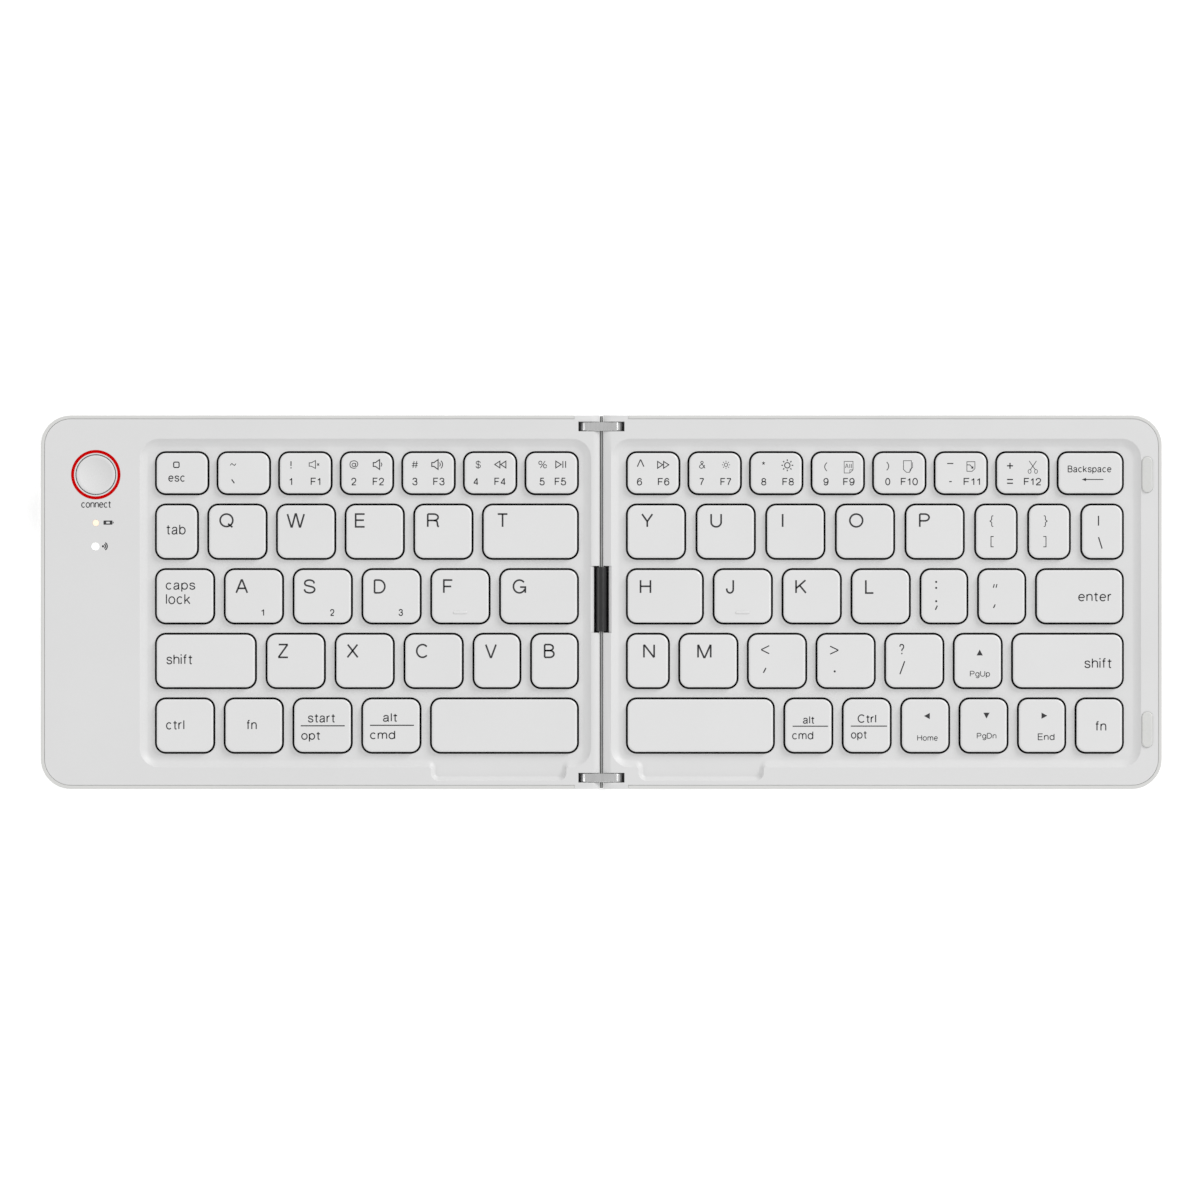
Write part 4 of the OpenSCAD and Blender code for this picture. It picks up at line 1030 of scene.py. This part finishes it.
for text, xl, xr, base in LETTERS:
    put(word(text, xl, xr, base, 14.5, w=0.46))
for text, xl, xr, base, cap in WORDS:
    w = 0.2 if text in "@#%&$" else 0.22 if text in "(){}[]" else 0.33 if text in "+=" else 0.2 if cap < 6.4 else 0.24 if cap < 7 else 0.28 if cap < 8.5 else 0.31
    put(word(text, xl, xr, base, cap, w=w))
for kind, x, y in SIGNS:
    put(icon(kind, x, y))
for x0, y0, x1, y1, w in LINES:
    put(stroke([(mm_x(x0), mm_y(y0)), (mm_x(x1), mm_y(y1))], w))
for pts in CHEVRONS:
    put(stroke([(mm_x(x), mm_y(y)) for x, y in pts], 0.3))
for x, y in DOTS:
    put(patch(circle_path(mm_x(x), mm_y(y), 0.29, 14)))

# ---------- Keycaps ----------


def cap_shape(q):
    gap = KEY_GAP + 0.03
    x0, y0, x1, y1 = q[0] + gap, q[1] + gap, q[2] - gap, q[3] - gap
    r = KEY_R - gap
    f, g = 0.62, 0.34
    ring = lambda d, z: at(rect_path(x0, y0, x1, y1, r, -d, 8), z)
    s = Shape()
    outer = [ring(0.0, CAP_BOTTOM + 0.1)] + [ring(f * (1 - math.cos(t)), CAP_TOP - g + g * math.sin(t)) for t in quarter(6)]
    inner = [ring(1.0, CAP_BOTTOM), ring(1.0, CAP_TOP - 1.0)]
    rim = [ring(0.9, CAP_BOTTOM), ring(0.1, CAP_BOTTOM)]
    rings = [s.add(p) for p in (inner[1], inner[0], rim[0], rim[1]) + tuple(outer)]
    s.face(rings[0][::-1])
    for a, b in zip(rings, rings[1:]):
        n = len(a)
        for i in range(n):
            s.face([a[i], a[(i + 1) % n], b[(i + 1) % n], b[i]])
    s.face(rings[-1])
    cx, cy = (x0 + x1) / 2, (y0 + y1) / 2
    s.turned(cx, cy, [(0, CAP_BOTTOM - 0.15), (1.45, CAP_BOTTOM - 0.15), (1.6, CAP_BOTTOM), (1.6, CAP_TOP - 0.8), (0, CAP_TOP - 0.8)], 24)
    return s


def homing_bar(q):
    cx, cy = (q[0] + q[2]) / 2, (q[1] + q[3]) / 2 - 4.3
    return Shape().loft([at(rect_path(cx - 1.85, cy - 0.34, cx + 1.85, cy + 0.34, 0.3, d, 5), z)
                         for d, z in ((0.05, CAP_TOP - 0.1), (0.0, CAP_TOP + 0.04), (-0.03, CAP_TOP + 0.14), (-0.08, CAP_TOP + 0.19), (-0.15, CAP_TOP + 0.2))])


used = 0
for node, keys in KEYS.items():
    s = Shape()
    ink_shape = Shape()
    for key in keys:
        q = key_rect(*key)
        s.join(cap_shape(q))
        for x, y, shape in prints:
            if q[0] < x < q[2] and q[1] < y < q[3]:
                ink_shape.join(shape)
                used += 1
    if node in ("key_f", "key_j"):
        s.join(homing_bar(key_rect(*keys[0])))
    ob = smooth(make(s, node + "_look", [cap_mat, ink]))
    if ink_shape.v:
        append(ob, ink_shape, 1)
    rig.replaces(ob, node)
    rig.ride(ob, node)
    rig.slot(ob, "keycap")
if used != len(prints):
    print("legends off a key:", len(prints) - used)

# ---------- Halves ----------

for side, half in ((-1, "left"), (1, "right")):
    ob = tub(side)
    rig.replaces(ob, half + "_bottom_cover")
    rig.ride(ob, half + "_half")
    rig.slot(ob, "casing")
    ob = smooth(cover(side))
    if side < 0:
        marks = Shape()
        marks.join(word("connect", 81.2, 111.0, 507.8, 7.3, RIM, 0.25, 0.21))
        bx, by = mm_x(108.0), mm_y(522.6)
        marks.join(window(rect_path(bx - 1.2, by - 0.55, bx + 1.2, by + 0.55, 0.12, 0.0, 5),
                          rect_path(bx - 0.5, by - 0.25, bx + 0.5, by + 0.25, 0.15, 0.0, 5), RIM))
        marks.join(patch(rect_path(bx + 1.32, by - 0.24, bx + 1.5, by + 0.24, 0.05, 0.0, 2), RIM))
        wx, wy = mm_x(103.0), mm_y(546.3)
        marks.join(patch(circle_path(wx, wy, 0.3, 16), RIM))
        for r in (0.66, 1.14):
            marks.join(stroke(arc(wx, wy, r, -58, 58, 12), 0.32, False, RIM))
        append(ob, marks, 1)
    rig.replaces(ob, half + "_top_cover")
    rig.ride(ob, half + "_half")
    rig.slot(ob, "casing")
    feet = Shape()
    for x, y in FEET:
        x = -x if side > 0 else x
        feet.turned(x, y, [(0, 0.0), (2.9, 0.0), (3.4, 0.02), (3.7, 0.09), (3.85, 0.2), (3.9, 0.34), (3.9, 0.8), (0, 0.8)], 64)
    ob = smooth(make(feet, half + "_feet_look", [foot_rubber]))
    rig.replaces(ob, half + "_feet")
    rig.ride(ob, half + "_half")
    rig.slot(ob, "foot_rubber")

# ---------- Connect button, ring and lenses ----------

x, y = BUTTON
dish = [(r, RIM + math.sqrt(15 ** 2 - 4.6 ** 2) - math.sqrt(15 ** 2 - r * r)) for r in (4.57, 4.2, 3.8, 3.4, 3.0, 2.5, 2.0, 1.5, 1.0, 0.5)]
prof = [(0, 4.65), (1.2, 4.65), (1.2, 5.0), (6.1, 5.0), (6.1, 5.7), (5.2, 5.7), (5.2, 6.8), (5.17, 6.9), (5.08, 6.97), (4.95, RIM), (4.75, 7.0)]
prof += dish + [(0, RIM + math.sqrt(15 ** 2 - 4.6 ** 2) - 15)]
ob = smooth(make(Shape().turned(x, y, prof, 96), "button_look", [button_mat]))
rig.replaces(ob, "connect_button")
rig.ride(ob, "connect_button")
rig.slot(ob, "button")

ring = [(RING_R - 0.81, RIM - 0.45), (RING_R - 0.01, RIM - 0.45), (RING_R - 0.01, RIM), (RING_R - 0.03, RIM + 0.02),
        (RING_R - 0.07, RIM + 0.03), (RING_R - 0.75, RIM + 0.03), (RING_R - 0.79, RIM + 0.02), (RING_R - 0.81, RIM)]
ob = smooth(make(Shape().hoop(x, y, ring), "ring_look", [red]), 50)
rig.replaces(ob, "connect_ring")
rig.ride(ob, "left_half")
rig.slot(ob, "red_ring")

lenses = Shape()
for k, (lx, ly, lr) in enumerate(LENSES):
    lenses.turned(lx, ly, [(0, 5.6), (lr, 5.6), (lr, RIM - 0.08), (lr * 0.93, RIM - 0.04), (lr * 0.75, RIM - 0.015), (lr * 0.4, RIM), (0, RIM)], 40, k)
ob = smooth(make(lenses, "lenses_look", [lens_warm, lens_cool]))
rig.replaces(ob, "indicator_lenses")
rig.ride(ob, "left_half")
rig.slot(ob, "lens")

# ---------- Pads, charge port ----------

pads = Shape()
for s in (-1, 1):
    ring = lambda d, z: at(pill_path(PAD_X, s * PAD_Y, 9.6, 1.45, -d), z)
    pads.loft([ring(0.0, 6.42), ring(0.0, 7.16), ring(0.03, 7.25), ring(0.11, 7.33), ring(0.24, 7.385), ring(0.4, 7.4)])
ob = smooth(make(pads, "pads_look", [pad_rubber]))
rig.replaces(ob, "bumper_pads")
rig.ride(ob, "right_half")
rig.slot(ob, "pad_rubber")

port = Shape()
out = [(PORT_Y + b, PORT_Z + a) for a, b in pill_path(0, 0, 8.9, 1.6)]
rim = [(PORT_Y + b, PORT_Z + a) for a, b in pill_path(0, 0, 8.9, 1.6, -0.06)]
lip = [(PORT_Y + b, PORT_Z + a) for a, b in pill_path(0, 0, 8.9, 1.6, -0.24)]
bore = [(PORT_Y + b, PORT_Z + a) for a, b in pill_path(0, 0, 8.9, 1.6, -0.3)]
x0 = -HALF_LEN + 0.2
rings = [port.add([(px, a, b) for a, b in path]) for px, path in
         ((x0 + 7.2, out), (x0 + 0.06, out), (x0, rim), (x0, lip), (x0 + 0.06, bore), (x0 + 6.4, bore))]
port.face(rings[0])
for a, b in zip(rings, rings[1:]):
    n = len(a)
    for i in range(n):
        port.face([a[i], a[(i + 1) % n], b[(i + 1) % n], b[i]])
port.face(rings[-1])
port.box(x0 + 0.8, PORT_Y - 3.3, PORT_Z - 0.35, x0 + 6.6, PORT_Y + 3.3, PORT_Z + 0.35, 1)
ob = smooth(make(port, "port_look", [port_steel, shade_and_tongue_black]))
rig.replaces(ob, "charge_port")
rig.ride(ob, "left_half")
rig.slot(ob, "port_steel")

# ---------- Hinge ----------

links = Shape()


def capsule(d):
    out = []
    for s, start in ((1, -math.pi / 2), (-1, math.pi / 2)):
        for i in range(25):
            t = start + math.pi * i / 24
            out.append((s * PIVOT_X + (LINK_R - d) * math.cos(t), PIVOT_Z + (LINK_R - d) * math.sin(t)))
    return out


for s in (-1, 1):
    a, b = s * LINK_Y - LINK_W / 2, s * LINK_Y + LINK_W / 2
    stations = [(a, 0.14), (a + 0.05, 0.05), (a + 0.16, 0.0), (b - 0.16, 0.0), (b - 0.05, 0.05), (b, 0.14)]
    links.loft([[(px, y, pz) for px, pz in capsule(d)] for y, d in stations])
# the spine's material is a darker, painted-shade copy of the links' metal
for y0, y1 in ((-HALF_D + 0.2, SLEEVE_Y[0] + 1.4), (SLEEVE_Y[1] - 1.4, HALF_D - 0.2)):
    sect = [(-0.38, 3.3), (-0.34, 3.2), (0.34, 3.2), (0.38, 3.3), (0.38, 3.72), (0.2, 3.9), (0.2, 6.1), (0.12, 6.22), (0.0, 6.25),
            (-0.12, 6.22), (-0.2, 6.1), (-0.2, 3.9), (-0.38, 3.72)]
    links.loft([[(px, y, pz) for px, pz in sect] for y in (y0, y1)], 1)
ob = smooth(make(links, "links_look", [link_metal, spine_metal_painted_shade]))
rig.replaces(ob, "hinge_links")
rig.ride(ob, "hinge_link")
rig.slot(ob, "hinge_metal")

sleeve = Shape()
stations = [(SLEEVE_Y[0], 0.2), (SLEEVE_Y[0] + 0.06, 0.08), (SLEEVE_Y[0] + 0.2, 0.0), (SLEEVE_Y[1] - 0.2, 0.0), (SLEEVE_Y[1] - 0.06, 0.08), (SLEEVE_Y[1], 0.2)]
sleeve.loft([[((SLEEVE_R - d) * math.cos(2 * math.pi * k / 48), y, PIVOT_Z + (SLEEVE_R - d) * math.sin(2 * math.pi * k / 48)) for k in range(48)]
             for y, d in stations])
ob = smooth(make(sleeve, "sleeve_look", [sleeve_black]))
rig.replaces(ob, "cable_sleeve")
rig.ride(ob, "hinge_link")
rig.slot(ob, "sleeve_black")

# flat cable, in the three stretches that go with the left half, the links and the right half
for name, body, path in (
        ("cable_left_look", "left_half", [(-123.2, 1.6), (-6.4, 1.6), (-5.4, 1.65), (-4.6, 1.85)]),
        ("cable_middle_look", "hinge_link", [(-2.0, 4.15), (-1.6, 4.3), (1.6, 4.3), (2.0, 4.15)]),
        ("cable_right_look", "right_half", [(4.6, 1.85), (5.4, 1.65), (6.9, 1.6), (22.0, 1.6)])):
    ring = path + [(px, pz + 0.2) for px, pz in path[::-1]]
    strip = Shape().loft([[(px, y, pz) for px, pz in ring] for y in (-5.5, 7.0)])
    ob = smooth(make(strip, name, [film]))
    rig.ride(ob, body)
    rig.slot(ob, "flex_film")
    if body == "hinge_link":
        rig.replaces(ob, "flex_cable")

# ---------- CAD pieces that stay, with their own finish ----------

KEEP = {
    "left_key_plate": (black_steel, "plate_steel"), "right_key_plate": (black_steel, "plate_steel"),
    "left_dome_sheet": (dome_rubber, "dome_rubber"), "right_dome_sheet": (dome_rubber, "dome_rubber"),
    "left_scissors": (scissor, "scissor_plastic"), "right_scissors": (scissor, "scissor_plastic"),
    "left_screws": (screw_steel, "screw_steel"), "right_screws": (screw_steel, "screw_steel"),
    "left_magnets": (nickel, "magnet_nickel"), "right_magnets": (nickel, "magnet_nickel"),
    "battery": (foil, "battery_foil"), "main_board": (board, "board"), "hinge_pins": (pin_steel, "pin_steel"),
}
for name, (mat, slot) in KEEP.items():
    ob = NODE[name]
    ob.data.materials.clear()
    ob.data.materials.append(mat)
    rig.slot(ob, slot)

# ---------- Floor, light and camera ----------

floor = bpy.data.objects.new("floor", bpy.data.meshes.new("floor"))
floor.data.from_pydata([(-4, -4, 0), (4, -4, 0), (4, 4, 0), (-4, 4, 0)], [], [(0, 1, 2, 3)])
bpy.context.scene.collection.objects.link(floor)
fm, n, links_, sh, co = new_material("floor_paper")
tex = noise(n, links_, co, 60.0, 5.0, 0.6)
ramp = n.new("ShaderNodeValToRGB")
ramp.color_ramp.elements[0].color = (0.90, 0.90, 0.90, 1)
ramp.color_ramp.elements[1].color = (0.94, 0.94, 0.94, 1)
links_.new(tex.outputs["Fac"], ramp.inputs["Fac"])
links_.new(ramp.outputs["Color"], sh.inputs["Base Color"])
sh.inputs["Roughness"].default_value = 0.9
sh.inputs["Specular IOR Level"].default_value = 0.1
sh.inputs["Emission Color"].default_value = (1, 1, 1, 1)
sh.inputs["Emission Strength"].default_value = 0.34
floor.data.materials.append(fm)
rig.stage(floor)

world = bpy.context.scene.world or bpy.data.worlds.new("World")
bpy.context.scene.world = world
world.use_nodes = True
bg = world.node_tree.nodes.get("Background")
bg.inputs["Color"].default_value = (1.0, 1.0, 1.0, 1.0)
bg.inputs["Strength"].default_value = 0.68


def area(name, place, size, power):
    li = bpy.data.lights.new(name, "AREA")
    li.shape = "DISK"
    li.size = size
    li.energy = power
    ob = bpy.data.objects.new(name, li)
    ob.location = place
    ob.rotation_euler = (Vector((0, 0, 0)) - Vector(place)).to_track_quat("-Z", "Y").to_euler()
    bpy.context.scene.collection.objects.link(ob)
    return ob


area("key_light", (2.45, 2.3, 1.68), 1.6, 71.0)
area("side_light", (1.7, 0.2, 2.7), 0.8, 4.8)
area("fill_light", (-2.7, -0.6, 1.7), 1.6, 13.0)
area("low_light", (0.3, -2.7, 1.5), 1.6, 9.0)

view = bpy.context.scene.view_settings
view.view_transform = "Standard"
view.look = "None"
view.exposure = 0.0
view.gamma = 1.0

cam_data = bpy.data.cameras.new("camera")
cam_data.sensor_width = 36.0
cam_data.lens = 500.0
cam_data.clip_start = 0.01
cam_data.clip_end = 20.0
cam = bpy.data.objects.new("camera", cam_data)
frame_w = 1200 * PX * MM
cam.location = ((600 - CX) * PX * MM, (CY - 600) * PX * MM, RIM * MM + frame_w * 500.0 / 36.0)
bpy.context.scene.collection.objects.link(cam)
bpy.context.scene.camera = cam

low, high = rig.bounds()
with open("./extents.json", "w") as f:
    json.dump({"cad": [list(map(float, c)) for c in CAD_BOX], "visual": [list(map(float, low)), list(map(float, high))]}, f)
